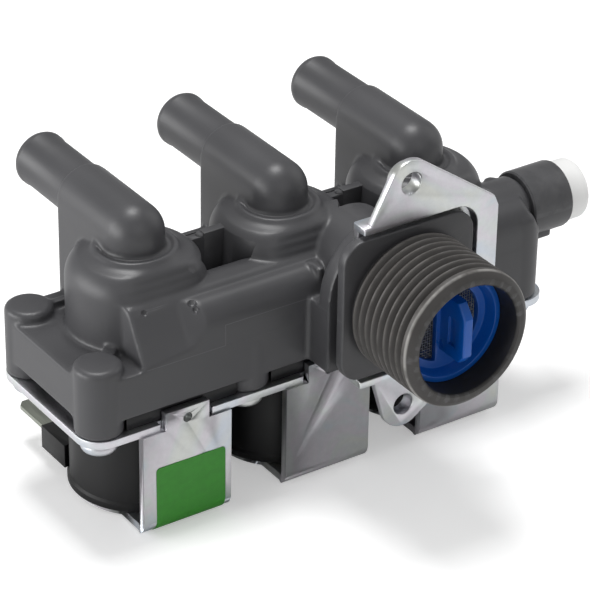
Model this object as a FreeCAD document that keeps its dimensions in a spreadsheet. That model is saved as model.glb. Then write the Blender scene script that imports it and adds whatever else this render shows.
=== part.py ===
import FreeCAD, Part
import math
import os
import re
import Sketcher

# Triple inlet solenoid valve of a washing machine, millimetres.
# The origin is the centre of the inlet's mouth. +Y runs into the valve, so the
# inlet faces -Y and the three outlets face +Y. +X runs along the row of valves
# towards the side port, and +Z is up, with the coils hanging below the body.

SIZES = {
    # Inlet: a G 3/4 parallel pipe thread on a hollow stub
    "thread_radius": 13.22,
    "thread_pitch": 1.814,
    "thread_depth": 1.16,
    "thread_crest": 0.42,
    "thread_first": 2.0,
    "thread_count": 9,
    "mouth_radius": 12.0,
    "mouth_chamfer": 1.0,
    "inlet_length": 18.35,
    "inlet_bore": 10.5,
    "flange_side": 28.2,
    "flange_corner": 4.5,
    "flange_thick": 2.0,
    "slot_width": 2.3,
    "slot_core": 11.8,
    "collar_depth": 3.2,
    "collar_taper": 3.6,
    "inlet_pipe": 9.6,
    "washer_seat_radius": 8.2,
    "washer_seat_depth": 3.0,
    "inlet_throat": 5.6,
    # Row of three valves
    "valve_pitch": 30.3,
    "valve_offset": 9.95,
    "valve_back": 45.2,
    "screw_row": 24.2,
    "boss_radius": 4.45,
    "boss_cap": 2.1,
    "boss_proud": 0.15,
    "boss_round": 0.9,
    "port_boss_high": 0.6,
    "pilot_radius": 1.25,
    "pilot_depth": 10.0,
    # Body block, its height above the coil plate and its chambers
    "block_low": -13.8,
    "block_high": -5.3,
    "bonnet_gap": 3.0,
    "chamber_radius": 12.7,
    "chamber_wall": 1.8,
    "ring_high": 5.3,
    "chamber_shoulder": 4.2,
    "chamber_slope_radius": 9.6,
    "chamber_slope_high": 8.7,
    "chamber_rim_radius": 7.5,
    "chamber_rim_high": 9.75,
    "chamber_high": 10.05,
    "chamber_foot": 0.7,
    "recess_radius": 12.0,
    "recess_depth": 3.6,
    "seat_radius": 5.7,
    "seat_bore": 4.0,
    "pocket_drop": 5.0,
    "rear_wall": 1.3,
    "rear_wall_high": -1.0,
    # Outlets
    "outlet_high": 12.45,
    "elbow_radius": 5.65,
    "elbow_nose_back": 0.7,
    "elbow_back": 63.1,
    "stub_radius": 5.14,
    "stub_length": 16.0,
    "stub_bore": 3.5,
    "bead_rise": 0.2,
    "bead_length": 1.7,
    # Gallery that feeds the chambers, and the plugged side port
    "gallery_back": 37.2,
    "gallery_high": -1.0,
    "gallery_bore": 4.0,
    "pocket_front": 41.9,
    "housing_end": 8.3,
    "wall_low_high": -0.8,
    "wall_high_high": 0.8,
    "housing_knee_back": 32.3,
    "housing_knee_high": 2.0,
    "housing_ridge_back": 35.5,
    "housing_ridge_high": 4.9,
    "dimple_radius": 1.0,
    "dimple_depth": 0.45,
    "neck_radius": 5.8,
    "port_start": 38.5,
    "port_length": 8.8,
    "port_radius": 6.5,
    "port_key_length": 6.0,
    "port_key_width": 4.0,
    "port_key_drop": 7.65,
    "nub_radius": 1.2,
    "nub_rise": 1.3,
    "plug_radius": 5.9,
    "plug_length": 4.7,
    "plug_spigot": 7.5,
    "plug_round": 0.9,
    # Sheet steel below the body
    "plate_thick": 1.5,
    "plate_margin": 0.4,
    "plate_end": 1.3,
    "plate_corner": 4.8,
    "plate_bore": 5.4,
    "screw_hole": 1.7,
    "yoke_width": 18.4,
    "yoke_neck": 17.0,
    "yoke_thick": 1.5,
    "yoke_back_leg": 8.8,
    "yoke_proud": 0.4,
    "yoke_low": -39.6,
    "yoke_bend": 3.2,
    "yoke_disc": 11.7,
    "tongue_width": 9.0,
    "tongue_back": 6.0,
    "tongue_rise": 2.1,
    "tongue_hole": 0.95,
    "notch_gap": 0.1,
    "stake_gap": 0.9,
    # Rating label
    "label_width": 14.4,
    "label_offset": 0.65,
    "label_high": -25.5,
    "label_thick": 0.12,
    "label_wrap": 72.0,
    # Mounting bracket of the inlet
    "bracket_thick": 1.5,
    "bracket_clear": 0.15,
    "bracket_joggle": 2.0,
    "bracket_open": 12.4,
    "bracket_tray": 14.9,
    "bracket_end": 9.8,
    "bracket_right": 19.6,
    "bracket_shoulder": 14.6,
    "ear_hole": 22.65,
    "ear_radius": 4.5,
    "lug_radius": 4.55,
    "fixing_radius": 2.1,
    "fixing_collar": 3.4,
    "fixing_collar_length": 1.5,
    "bracket_round": 0.9,
    # Coils
    "coil_radius": 12.7,
    "coil_lip": 13.1,
    "coil_lip_high": 1.2,
    "coil_gap": 0.1,
    "coil_wall": 1.6,
    "winding_radius": 10.6,
    "winding_inner": 7.3,
    "bobbin_wall": 0.9,
    "bobbin_flange": 1.1,
    "terminal_block_low": -36.6,
    "terminal_block_high": 4.7,
    "terminal_block_half": 11.7,
    "terminal_block_inner": 4.9,
    "terminal_block_back": 15.2,
    "blade_width": 6.3,
    "blade_thick": 0.8,
    "blade_length": 9.9,
    "blade_root": 5.0,
    "blade_hole": 0.85,
    "blade_inset": 0.4,
    "sleeve_wall": 1.0,
    "sleeve_length": 8.0,
    # Bonnet with its closed guide tube
    "bonnet_half_long": 15.4,
    "bonnet_half_wide": 14.9,
    "bonnet_clear": 0.45,
    "bonnet_ring": 1.6,
    "bonnet_floor": 1.5,
    "guide_radius": 5.0,
    "guide_wall": 0.9,
    "guide_end": 1.1,
    "guide_low": -36.4,
    # Moving pieces
    "running_gap": 0.08,
    "seal_thick": 1.4,
    "web_thick": 0.9,
    "seal_gap": 0.1,
    "insert_radius": 7.0,
    "insert_thick": 1.5,
    "insert_nub": 0.5,
    "insert_nub_radius": 1.5,
    "insert_stem": 1.5,
    "insert_stem_rise": 1.2,
    "pilot_hole": 0.5,
    "plunger_length": 17.0,
    "plunger_proud": 0.5,
    "tip_radius": 2.0,
    "tip_length": 1.6,
    "spring_bore": 2.7,
    "spring_bore_depth": 5.5,
    "spring_radius": 2.15,
    "spring_wire": 0.3,
    "spring_turns": 7,
    "plunger_travel": 2.4,
    # Filter and flow washer in the inlet
    "filter_face": 5.0,
    "filter_gap": 0.1,
    "filter_rim": 1.2,
    "filter_wall": 1.0,
    "filter_floor": 7.4,
    "filter_floor_radius": 9.8,
    "filter_ring_inner": 7.4,
    "filter_floor_thick": 1.2,
    "filter_skirt": 4.0,
    "mesh_thick": 0.25,
    "bar_width": 3.4,
    "tab_thick": 2.0,
    "tab_front": 0.4,
    "tab_high": 4.0,
    "tab_low": -3.4,
    "tab_top": 6.6,
    "tab_bottom": -4.9,
    "tab_top_back": 2.4,
    "tab_bottom_back": 1.6,
    "tab_recess": 0.5,
    "washer_thick": 2.6,
    "washer_hole": 3.2,
    # Screws
    "screw_head": 3.3,
    "screw_head_high": 2.6,
    "screw_shank": 1.2,
    "screw_length": 10.0,
    "screw_recess": 1.1,
}

# Places that follow from the sizes
DERIVED = {
    "flange_back": "inlet_length + flange_thick",
    "bracket_front": "flange_back + bracket_clear - bracket_joggle",
    "collar_front": "flange_back + slot_width",
    "collar_back": "collar_front + collar_depth",
    "thread_root": "thread_radius - thread_depth",
    "valve_left": "-valve_offset - valve_pitch",
    "boss_left": "valve_left - valve_pitch / 2",
    "boss_front": "valve_back - screw_row / 2",
    "boss_rear": "valve_back + screw_row / 2",
    "block_front": "boss_front - boss_radius + boss_proud",
    "block_rear": "boss_rear + boss_radius - boss_proud",
    "block_left": "boss_left - boss_radius + boss_proud",
    "block_right": "boss_left + 3 * valve_pitch + boss_radius - boss_proud",
    "plate_top": "block_low - bonnet_gap",
    "plate_bottom": "plate_top - plate_thick",
    "recess_top": "block_low + recess_depth",
    "chamber_bore": "chamber_radius - chamber_wall",
    "housing_left": "valve_left - housing_end",
    "port_end": "port_start + port_length",
    "outlet_tip": "elbow_back + stub_length",
    "plate_front": "block_front - plate_margin",
    "plate_back": "block_rear + plate_margin",
    "plate_left": "block_left - plate_margin / 2",
    "plate_right": "block_right + plate_end",
    "yoke_front": "plate_front - yoke_proud",
    "yoke_back": "2 * valve_back - yoke_front",
    "yoke_floor": "yoke_low + yoke_thick",
    "coil_top": "plate_bottom - coil_gap",
    "coil_low": "yoke_floor + coil_gap",
    "guide_bore": "guide_radius - guide_wall",
    "guide_floor": "guide_low + guide_end",
    "bobbin_bore": "guide_radius + coil_gap",
    "sleeve_bore": "guide_radius + coil_gap",
    "sleeve_radius": "sleeve_bore + sleeve_wall",
    "winding_top": "coil_top - coil_wall - bobbin_flange",
    "winding_low": "coil_low + coil_wall + bobbin_flange",
    "seal_low": "recess_top - seal_thick",
    "web_low": "recess_top - web_thick",
    "insert_low": "web_low - insert_thick",
    "pilot_seat": "insert_low - insert_nub",
    "bonnet_cup_floor": "plate_top + bonnet_floor",
    "plunger_radius": "guide_bore - running_gap",
    "plunger_top": "pilot_seat - plunger_proud",
    "plunger_low": "plunger_top - plunger_length",
    "spring_top": "plunger_low + spring_bore_depth",
    "filter_radius": "inlet_bore - filter_gap",
    "filter_back": "filter_floor + filter_floor_thick",
    "washer_front": "inlet_length - 1.2",
    "terminal_top": "terminal_block_low + terminal_block_high",
}

doc = FreeCAD.newDocument("InletValve")
sheet = doc.addObject("Spreadsheet::Sheet", "Sizes")
for row, (word, number) in enumerate(SIZES.items(), start=1):
    sheet.set(f"A{row}", word)
    sheet.set(f"B{row}", str(number))
    sheet.setAlias(f"B{row}", word)
doc.recompute()

PIECES = {}


def formula(text):
    """Write derived places out in full and point each size at its cell."""
    def swap(match):
        word = match.group(0)
        if word in DERIVED:
            return "(" + formula(DERIVED[word]) + ")"
        return "Sizes." + word if word in SIZES else word
    return re.sub(r"[a-z_]+", swap, str(text))


def value(text):
    """The number that a formula gives now."""
    return float(sheet.evalExpression(formula(text)))


def bind(item, **formulas):
    for prop, text in formulas.items():
        item.setExpression(prop, formula(text))


def place(item, at, turn=None):
    """Put an item at three formulas, turned so that its own Z runs along an axis."""
    turns = {
        None: FreeCAD.Rotation(),
        "Y": FreeCAD.Rotation(FreeCAD.Vector(1, 0, 0), -90),
        "X": FreeCAD.Rotation(FreeCAD.Vector(0, 1, 0), 90),
    }
    item.Placement = FreeCAD.Placement(FreeCAD.Vector(), turns[turn])
    for letter, text in zip("xyz", at):
        item.setExpression("Placement.Base." + letter, formula(text))
    return item


def box(name, low, size):
    item = doc.addObject("Part::Box", name)
    bind(item, Length=size[0], Width=size[1], Height=size[2])
    return place(item, low)


def rod(name, at, radius, length, axis=None):
    item = doc.addObject("Part::Cylinder", name)
    bind(item, Radius=radius, Height=length)
    return place(item, at, axis)


def taper(name, at, start, end, length, axis=None):
    item = doc.addObject("Part::Cone", name)
    bind(item, Radius1=start, Radius2=end, Height=length)
    return place(item, at, axis)


def ball(name, at, radius):
    item = doc.addObject("Part::Sphere", name)
    bind(item, Radius=radius)
    return place(item, at)


def fuse(name, items):
    item = doc.addObject("Part::MultiFuse", name)
    item.Shapes = items
    item.Refine = True
    return item


def cut(name, base, tool):
    item = doc.addObject("Part::Cut", name)
    item.Base = base
    item.Tool = tool
    item.Refine = True
    return item


def edges_where(shape, test):
    """Numbers of the edges that pass a test."""
    return [number for number, edge in enumerate(shape.Edges, start=1) if test(edge)]


def rounded(name, base, radius, test):
    """Part fillet on the edges that pass a test."""
    doc.recompute()
    item = doc.addObject("Part::Fillet", name)
    item.Base = base
    size = value(radius)
    item.Edges = [(number, size, size) for number in edges_where(base.Shape, test)]
    return item


def trace(sketch, points):
    """Closed outline through formula points. A third entry bows that side out
    to an arc of the given radius, negative for a clockwise one."""
    spots = [FreeCAD.Vector(value(p[0]), value(p[1]), 0) for p in points]
    count = len(points)
    starts = []
    ends = []
    for number, point in enumerate(points):
        first = spots[number]
        last = spots[(number + 1) % count]
        if len(point) == 2:
            sketch.addGeometry(Part.LineSegment(first, last), False)
            starts.append((number, 1))
            ends.append((number, 2))
            continue
        size = value(point[2])
        chord = last - first
        middle = (first + last) * 0.5
        side = FreeCAD.Vector(-chord.y, chord.x, 0).normalize()
        rise = math.sqrt(max(size * size - chord.Length * chord.Length / 4, 0))
        centre = middle + side * (rise if size > 0 else -rise)
        turn = [math.atan2(p.y - centre.y, p.x - centre.x) for p in (first, last)]
        if size < 0:
            turn.reverse()
        circle = Part.Circle(centre, FreeCAD.Vector(0, 0, 1), abs(size))
        sketch.addGeometry(Part.ArcOfCircle(circle, turn[0], turn[1]), False)
        starts.append((number, 1 if size > 0 else 2))
        ends.append((number, 2 if size > 0 else 1))
    for number in range(count):
        follow = starts[(number + 1) % count]
        sketch.addConstraint(Sketcher.Constraint("Coincident", *ends[number], *follow))
    for number, point in enumerate(points):
        for kind, letter, text, spot in (
            ("DistanceX", "x", point[0], spots[number].x),
            ("DistanceY", "y", point[1], spots[number].y),
        ):
            limit = Sketcher.Constraint(kind, -1, 1, *starts[number], spot)
            index = sketch.addConstraint(limit)
            sketch.renameConstraint(index, f"{letter}{number}")
            sketch.setExpression(f"Constraints.{letter}{number}", formula(text))
        if len(point) == 3:
            size = abs(value(point[2]))
            index = sketch.addConstraint(Sketcher.Constraint("Radius", number, size))
            sketch.renameConstraint(index, f"arc{number}")
            sketch.setExpression(f"Constraints.arc{number}", "abs(" + formula(point[2]) + ")")
    return sketch


def new_body(name, at=("0", "0", "0"), axis=None):
    body = doc.addObject("PartDesign::Body", name)
    place(body, at, axis)
    return body


def plane(body, role):
    return next(item for item in body.Origin.OriginFeatures if item.Role == role)


def body_sketch(body, name, role, offset="0"):
    sketch = body.newObject("Sketcher::SketchObject", name)
    sketch.AttachmentSupport = (plane(body, role), [""])
    sketch.MapMode = "FlatFace"
    sketch.setExpression("AttachmentOffset.Base.z", formula(offset))
    return sketch


def revolve(body, name, points):
    """Turn a profile of (radius, height) points about the body's Z axis."""
    sketch = trace(body_sketch(body, name + "_profile", "XZ_Plane"), points)
    turned = body.newObject("PartDesign::Revolution", name)
    turned.Profile = sketch
    turned.ReferenceAxis = (sketch, ["V_Axis"])
    turned.Angle = 360
    return turned


def groove(body, name, points):
    sketch = trace(body_sketch(body, name + "_profile", "XZ_Plane"), points)
    turned = body.newObject("PartDesign::Groove", name)
    turned.Profile = sketch
    turned.ReferenceAxis = (sketch, ["V_Axis"])
    turned.Angle = 360
    return turned


def pad(body, name, role, points, length, offset="0", reverse=False):
    feature = body.newObject("PartDesign::Pad", name)
    feature.Profile = trace(body_sketch(body, name + "_outline", role, offset), points)
    feature.Reversed = reverse
    bind(feature, Length=length)
    return feature


def pocket(body, name, role, points, length, offset="0", reverse=False):
    feature = body.newObject("PartDesign::Pocket", name)
    feature.Profile = trace(body_sketch(body, name + "_outline", role, offset), points)
    feature.Reversed = reverse
    bind(feature, Length=length)
    return feature


def circle_sketch(body, name, role, centres, radius, offset="0"):
    sketch = body_sketch(body, name, role, offset)
    for number, (across, up) in enumerate(centres):
        centre = FreeCAD.Vector(value(across), value(up), 0)
        normal = FreeCAD.Vector(0, 0, 1)
        sketch.addGeometry(Part.Circle(centre, normal, value(radius)), False)
        rules = (
            ("DistanceX", across, Sketcher.Constraint("DistanceX", -1, 1, number, 3, centre.x)),
            ("DistanceY", up, Sketcher.Constraint("DistanceY", -1, 1, number, 3, centre.y)),
            ("Radius", radius, Sketcher.Constraint("Radius", number, value(radius))),
        )
        for kind, text, rule in rules:
            index = sketch.addConstraint(rule)
            sketch.renameConstraint(index, f"{kind}{number}")
            sketch.setExpression(f"Constraints.{kind}{number}", formula(text))
    return sketch


def holes(body, name, role, centres, radius, length, offset="0", reverse=False):
    feature = body.newObject("PartDesign::Pocket", name)
    feature.Profile = circle_sketch(body, name + "_circles", role, centres, radius, offset)
    feature.Reversed = reverse
    bind(feature, Length=length)
    return feature


def discs(body, name, role, centres, radius, length, offset="0", reverse=False):
    feature = body.newObject("PartDesign::Pad", name)
    feature.Profile = circle_sketch(body, name + "_circles", role, centres, radius, offset)
    feature.Reversed = reverse
    bind(feature, Length=length)
    return feature


def soften(body, name, radius, test):
    """Fillet the body's tip on the edges that pass a test."""
    doc.recompute()
    base = body.Tip
    picked = [f"Edge{number}" for number in edges_where(base.Shape, test)]
    feature = body.newObject("PartDesign::Fillet", name)
    feature.Base = (base, picked)
    bind(feature, Radius=radius)
    return feature


def near(number, text, tolerance=0.02):
    return abs(number - value(text)) < tolerance


def upright(edge):
    """A straight edge along Z."""
    box_of = edge.BoundBox
    return box_of.XLength < 0.01 and box_of.YLength < 0.01 and box_of.ZLength > 0.01


def along_y(edge):
    box_of = edge.BoundBox
    return box_of.XLength < 0.01 and box_of.ZLength < 0.01 and box_of.YLength > 0.01


def along_x(edge):
    box_of = edge.BoundBox
    return box_of.YLength < 0.01 and box_of.ZLength < 0.01 and box_of.XLength > 0.01


def piece(label, item):
    item.Label = label
    PIECES[label] = item
    return item


def valve_x(number):
    """Formula for the X of a valve's axis, from 1 at the left."""
    return f"valve_left + {number - 1} * valve_pitch"


def boss_places():
    """Formulas for the axes of the eight screws."""
    return [
        (f"boss_left + {column} * valve_pitch", row)
        for column in range(4)
        for row in ("boss_front", "boss_rear")
    ]


# The moulded body


def block():
    """Base block whose corners are the end bosses."""
    plain = box(
        "block_box",
        ("block_left", "block_front", "block_low"),
        ("block_right - block_left", "block_rear - block_front", "block_high - block_low"),
    )
    return rounded("block", plain, "boss_radius + 0.5", upright)


def bosses():
    """Screw columns that stand on the coil plate and end in low round caps."""
    items = []
    for number, (across, back) in enumerate(boss_places(), start=1):
        under_housing = number in (3, 5)
        top = "block_high - 1" if under_housing else "block_high + boss_cap"
        if number == 7:
            top = "port_boss_high"
        column = rod(
            f"boss_column_{number}", (across, back, "plate_top"), "boss_radius",
            f"{top} - plate_top")
        if not under_housing:
            column = rounded(
                f"boss_{number}", column, "boss_round",
                lambda edge: near(edge.BoundBox.ZMin, top))
        items.append(column)
    return items


def chamber(number):
    """Diaphragm chamber: a round pot with a stepped shoulder."""
    sketch = doc.addObject("Sketcher::SketchObject", f"chamber_profile_{number}")
    sketch.Placement = FreeCAD.Placement(
        FreeCAD.Vector(), FreeCAD.Rotation(FreeCAD.Vector(1, 0, 0), 90))
    trace(sketch, [
        ("0", "block_low"),
        ("chamber_radius", "block_low"),
        ("chamber_radius", "chamber_shoulder", "5.4"),
        ("chamber_slope_radius", "chamber_slope_high"),
        ("chamber_rim_radius + 0.3", "chamber_rim_high - 0.3", "0.6"),
        ("chamber_rim_radius", "chamber_high"),
        ("0", "chamber_high"),
    ])
    turned = doc.addObject("Part::Revolution", f"chamber_{number}")
    turned.Source = sketch
    turned.Axis = FreeCAD.Vector(0, 0, 1)
    turned.Angle = 360
    turned.Solid = True
    return place(turned, (valve_x(number), "valve_back", "0"))


def outlet(number):
    """Elbow with a flat-sided web under it, and the hose stub with its bead."""
    across = valve_x(number)
    left = f"{across} - elbow_radius"
    arch = rod(f"elbow_arch_{number}", (across, "valve_back + elbow_nose_back", "outlet_high"),
               "elbow_radius", "elbow_back - valve_back - elbow_nose_back", "Y")
    front = "valve_back + elbow_nose_back"
    nose = ball(f"elbow_nose_{number}", (across, front, "outlet_high"), "elbow_radius")
    drop = rod(f"elbow_drop_{number}", (across, front, "0"), "elbow_radius", "outlet_high")
    web = box(f"elbow_web_{number}", (left, front, "block_low"),
              ("2 * elbow_radius", f"elbow_back - ({front})", "outlet_high - block_low"))
    stub = rod(f"stub_{number}", (across, "elbow_back - 1", "outlet_high"),
               "stub_radius", "stub_length + 1", "Y")
    bead = rod(f"stub_bead_{number}", (across, "outlet_tip - bead_length", "outlet_high"),
               "stub_radius + bead_rise", "bead_length", "Y")
    bead = rounded(f"bead_{number}", bead, "bead_rise * 2", lambda edge: True)
    return [arch, nose, drop, web, stub, bead]


def run_along_x(name, left, right, points):
    """Straight run along the row of a profile of (Y, Z) points."""
    sketch = doc.addObject("Sketcher::SketchObject", name + "_profile")
    sketch.Placement = FreeCAD.Placement(
        FreeCAD.Vector(), FreeCAD.Rotation(FreeCAD.Vector(1, 1, 1), 120))
    sketch.setExpression("Placement.Base.x", formula(left))
    trace(sketch, points)
    run = doc.addObject("Part::Extrusion", name)
    run.Base = sketch
    run.DirMode = "Custom"
    run.Dir = FreeCAD.Vector(1, 0, 0)
    run.Solid = True
    bind(run, LengthFwd=f"{right} - ({left})")
    return run


def housing():
    """Raised housing over the gallery: a leaning front that curves over a ridge,
    with an upright wall to the right of its first section."""
    ridge = run_along_x("housing", "housing_left", "block_right - boss_radius - 0.9", [
        ("block_front + 0.05", "block_low + 1"),
        ("gallery_back + 6.6", "block_low + 1"),
        ("gallery_back + 6.6", "housing_ridge_high - 2.4"),
        ("gallery_back + 1.5", "housing_ridge_high - 0.1", "4.5"),
        ("housing_ridge_back - 1.4", "housing_ridge_high - 0.5"),
        ("housing_knee_back", "housing_knee_high"),
        ("block_front + 0.05", "block_high"),
    ])
    walls = [ridge]
    for name, left, right, high in (
        ("wall_low", "valve_left + 8.45", "-flange_side / 2", "wall_low_high"),
        ("wall_high", "-flange_side / 2 - 0.3", "block_right - boss_radius - 1.2",
         "wall_high_high"),
    ):
        walls.append(run_along_x("housing_" + name, left, right, [
            ("block_front + 0.02", "block_low + 2"),
            ("housing_knee_back + 1", "block_low + 2"),
            ("housing_knee_back + 1", "housing_knee_high + 0.6"),
            ("block_front + 0.02", high),
        ]))
    return walls


def side_port():
    """Neck, collar and end bead of the plugged port, with the key below it."""
    start = "block_right - 2 * boss_radius"
    neck = rod("port_neck", (start, "gallery_back", "gallery_high"),
               "neck_radius", f"port_start - ({start}) + 1", "X")
    collar = rod("port_collar", ("port_start", "gallery_back", "gallery_high"),
                 "port_radius", "port_length - 0.6", "X")
    collar = rounded("port_collar_round", collar, "0.5",
                     lambda edge: near(edge.BoundBox.XMax, "port_start"))
    rim = rod("port_rim", ("port_end - 1.2", "gallery_back", "gallery_high"),
              "port_radius + 0.25", "1.2", "X")
    rim = rounded("port_rim_round", rim, "0.35", lambda edge: edge.BoundBox.YLength > 1)
    key = box("port_key",
              ("block_right - 1.5", "gallery_back - port_key_width", "-port_key_drop"),
              ("port_start + port_key_length - block_right + 1.5", "port_key_width",
               "port_key_drop + gallery_high"))
    nub = rod("port_nub", ("block_right - boss_radius - 0.6", "gallery_back + 3", "gallery_high"),
              "nub_radius", "neck_radius * 0.87 + nub_rise")
    nub = rounded("port_nub_round", nub, "0.6",
                  lambda edge: edge.BoundBox.ZMin > value("gallery_high") + 1
                  and edge.BoundBox.ZLength < 0.01)
    return [neck, collar, rim, key, nub]


def inlet():
    """Threaded stub, square flange, slot for the bracket and the collar behind it."""
    ridges = []
    points = [
        ("0", "0"),
        ("mouth_radius", "0"),
        ("thread_radius", "mouth_chamfer"),
    ]
    for ridge in range(int(SIZES["thread_count"])):
        middle = f"thread_first + {ridge} * thread_pitch"
        root = f"{middle} + thread_pitch / 2"
        points += [
            ("thread_radius", f"{middle} + thread_crest / 2"),
            ("thread_root", f"{root} - thread_crest / 3"),
            ("thread_root", f"{root} + thread_crest / 3"),
        ]
        if ridge < int(SIZES["thread_count"]) - 1:
            points.append(("thread_radius", f"{middle} + thread_pitch - thread_crest / 2"))
    points += [("thread_root", "inlet_length + 1"), ("0", "inlet_length + 1")]
    points = [(across, f"({high})") for across, high in points]
    sketch = doc.addObject("Sketcher::SketchObject", "thread_profile")
    trace(sketch, points)
    stub = doc.addObject("Part::Revolution", "thread_stub")
    stub.Source = sketch
    stub.Axis = FreeCAD.Vector(0, 1, 0)
    stub.Angle = 360
    stub.Solid = True
    square = box("flange_box", ("-flange_side / 2", "inlet_length", "-flange_side / 2"),
                 ("flange_side", "flange_thick", "flange_side"))
    square = rounded("flange_corners", square, "flange_corner", along_y)
    square = rounded("flange", square, "0.35",
                     lambda edge: near(edge.BoundBox.YMax, "inlet_length"))
    core = rod("slot_core_rod", ("0", "inlet_length + 1", "0"), "slot_core",
               "flange_thick + slot_width + 1", "Y")
    collar = rod("collar_round", ("0", "collar_front", "0"), "flange_side / 2",
                 "collar_depth", "Y")
    skirt = box("collar_skirt", ("-flange_side / 2", "collar_front", "block_low"),
                ("flange_side", "block_front - collar_front + 2", "-block_low - 1"))
    waist = taper("collar_waist", ("0", "collar_back", "0"), "flange_side / 2",
                  "inlet_pipe", "collar_taper", "Y")
    pipe = rod("inlet_pipe_rod", ("0", "collar_back", "0"), "inlet_pipe",
               "gallery_back + 4 - collar_back", "Y")
    return [stub, square, core, collar, skirt, waist, pipe] + ridges


def rear_walls():
    """Low rim along the rear edge between the outlet webs."""
    items = []
    for number in (1, 2):
        left = valve_x(number)
        items.append(box(
            f"rear_rim_{number}",
            (left, "block_rear - rear_wall", "block_high - 1"),
            ("valve_pitch", "rear_wall", "rear_wall_high - block_high + 1")))
    return items


def cap_ribs():
    """Flat ribs that tie the left bosses to the first chamber."""
    front = box("front_cap_rib", ("boss_left + 0.8", "boss_front - 1", "block_high - 0.5"),
                ("valve_left - boss_left", "2.5", "boss_cap - 0.1"))
    front.Placement = FreeCAD.Placement(
        front.Placement.Base, FreeCAD.Rotation(FreeCAD.Vector(0, 0, 1), 38.6))
    rear = box("rear_cap_rib", ("boss_left", "boss_rear - 1.2", "block_high - 0.5"),
               ("valve_left - boss_left - 3", "1.6", "boss_cap - 0.1"))
    return [front, rear]


def chamber_hollows(number):
    """Water ring round the seat tube, the seat bore and the outlet bore."""
    across = valve_x(number)
    ring = rod(f"ring_bore_{number}", (across, "valve_back", "block_low - 1"), "chamber_bore",
               "ring_high - block_low + 1")
    seat = rod(f"seat_tube_{number}", (across, "valve_back", "recess_top"), "seat_radius",
               "chamber_high - recess_top")
    ring = cut(f"water_ring_{number}", ring, seat)
    recess = rod(f"bonnet_recess_{number}", (across, "valve_back", "block_low - 1"),
                 "recess_radius", "recess_depth + 1")
    seat_bore = rod(f"seat_bore_{number}", (across, "valve_back", "block_low"), "seat_bore",
                    "outlet_high - block_low")
    crown = ball(f"bend_bore_{number}", (across, "valve_back", "outlet_high"), "seat_bore")
    out = rod(f"outlet_bore_{number}", (across, "valve_back", "outlet_high"), "stub_bore",
              "outlet_tip - valve_back + 1", "Y")
    return [ring, recess, seat_bore, crown, out]


def pockets():
    """Deep cored pockets between the chambers, open at the top."""
    items = []
    for number in (1, 2):
        middle = f"{valve_x(number)} + valve_pitch / 2"
        slab = box(
            f"pocket_box_{number}",
            (f"{middle} - valve_pitch / 2 + elbow_radius", "pocket_front",
             "block_high - pocket_drop"),
            ("valve_pitch - 2 * elbow_radius",
             "block_rear - rear_wall - pocket_front",
             "pocket_drop + chamber_high"))
        keep = []
        for side in (0, 1):
            keep.append(rod(
                f"pocket_keep_{number}_{side}",
                (f"{valve_x(number)} + {side} * valve_pitch", "valve_back", "block_low"),
                "chamber_radius", "chamber_high - block_low + 1"))
        column = rod(
            f"pocket_column_{number}", (middle, "boss_rear", "block_low"),
            "boss_radius", "block_high + boss_cap - block_low")
        kept = fuse(f"pocket_keep_{number}", keep + [column])
        items.append(cut(f"pocket_{number}", slab, kept))
    return items


def dimples():
    """Two small dents on the housing's ridge."""
    items = []
    for number, across in enumerate(("housing_left + 2.4", "valve_left + 3.4"), start=1):
        items.append(ball(
            f"dimple_{number}",
            (across, "housing_ridge_back - 1.6",
             "housing_ridge_high - 1.1 + dimple_radius - dimple_depth"),
            "dimple_radius"))
    return items


def valve_body():
    solids = [block(), *housing(), *bosses(), *inlet(), *side_port(), *rear_walls(), *cap_ribs()]
    for number in (1, 2, 3):
        solids.append(chamber(number))
        solids.extend(outlet(number))
    body = fuse("body_solid", solids)
    body.Refine = False
    bores = [
        rod("gallery_bore_rod", ("valve_left - 4", "gallery_back", "gallery_high"),
            "gallery_bore", "port_end - valve_left + 6", "X"),
        rod("inlet_bore_rod", ("0", "-1", "0"), "inlet_bore", "washer_front + 1", "Y"),
        rod("washer_seat", ("0", "washer_front - 0.5", "0"), "washer_seat_radius",
            "washer_seat_depth + 0.5", "Y"),
        rod("inlet_throat_rod", ("0", "washer_front", "0"), "inlet_throat",
            "gallery_back - washer_front", "Y"),
    ]
    pilots = [
        rod(f"pilot_{number}", (across, back, "plate_top - 1"), "pilot_radius", "pilot_depth + 1")
        for number, (across, back) in enumerate(boss_places(), start=1)
    ]
    steps = [("bores", bores), ("pockets", pockets()), ("dimples", dimples())]
    steps += [(f"valve_{number}", chamber_hollows(number)) for number in (1, 2, 3)]
    steps.append(("pilots", pilots))
    for name, hollows in steps:
        body = cut("body_less_" + name, body, fuse("hollow_" + name, hollows))
        body.Refine = name == "pilots"
    piece("valve_body", body)


# Filter, flow washer and plug


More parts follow.
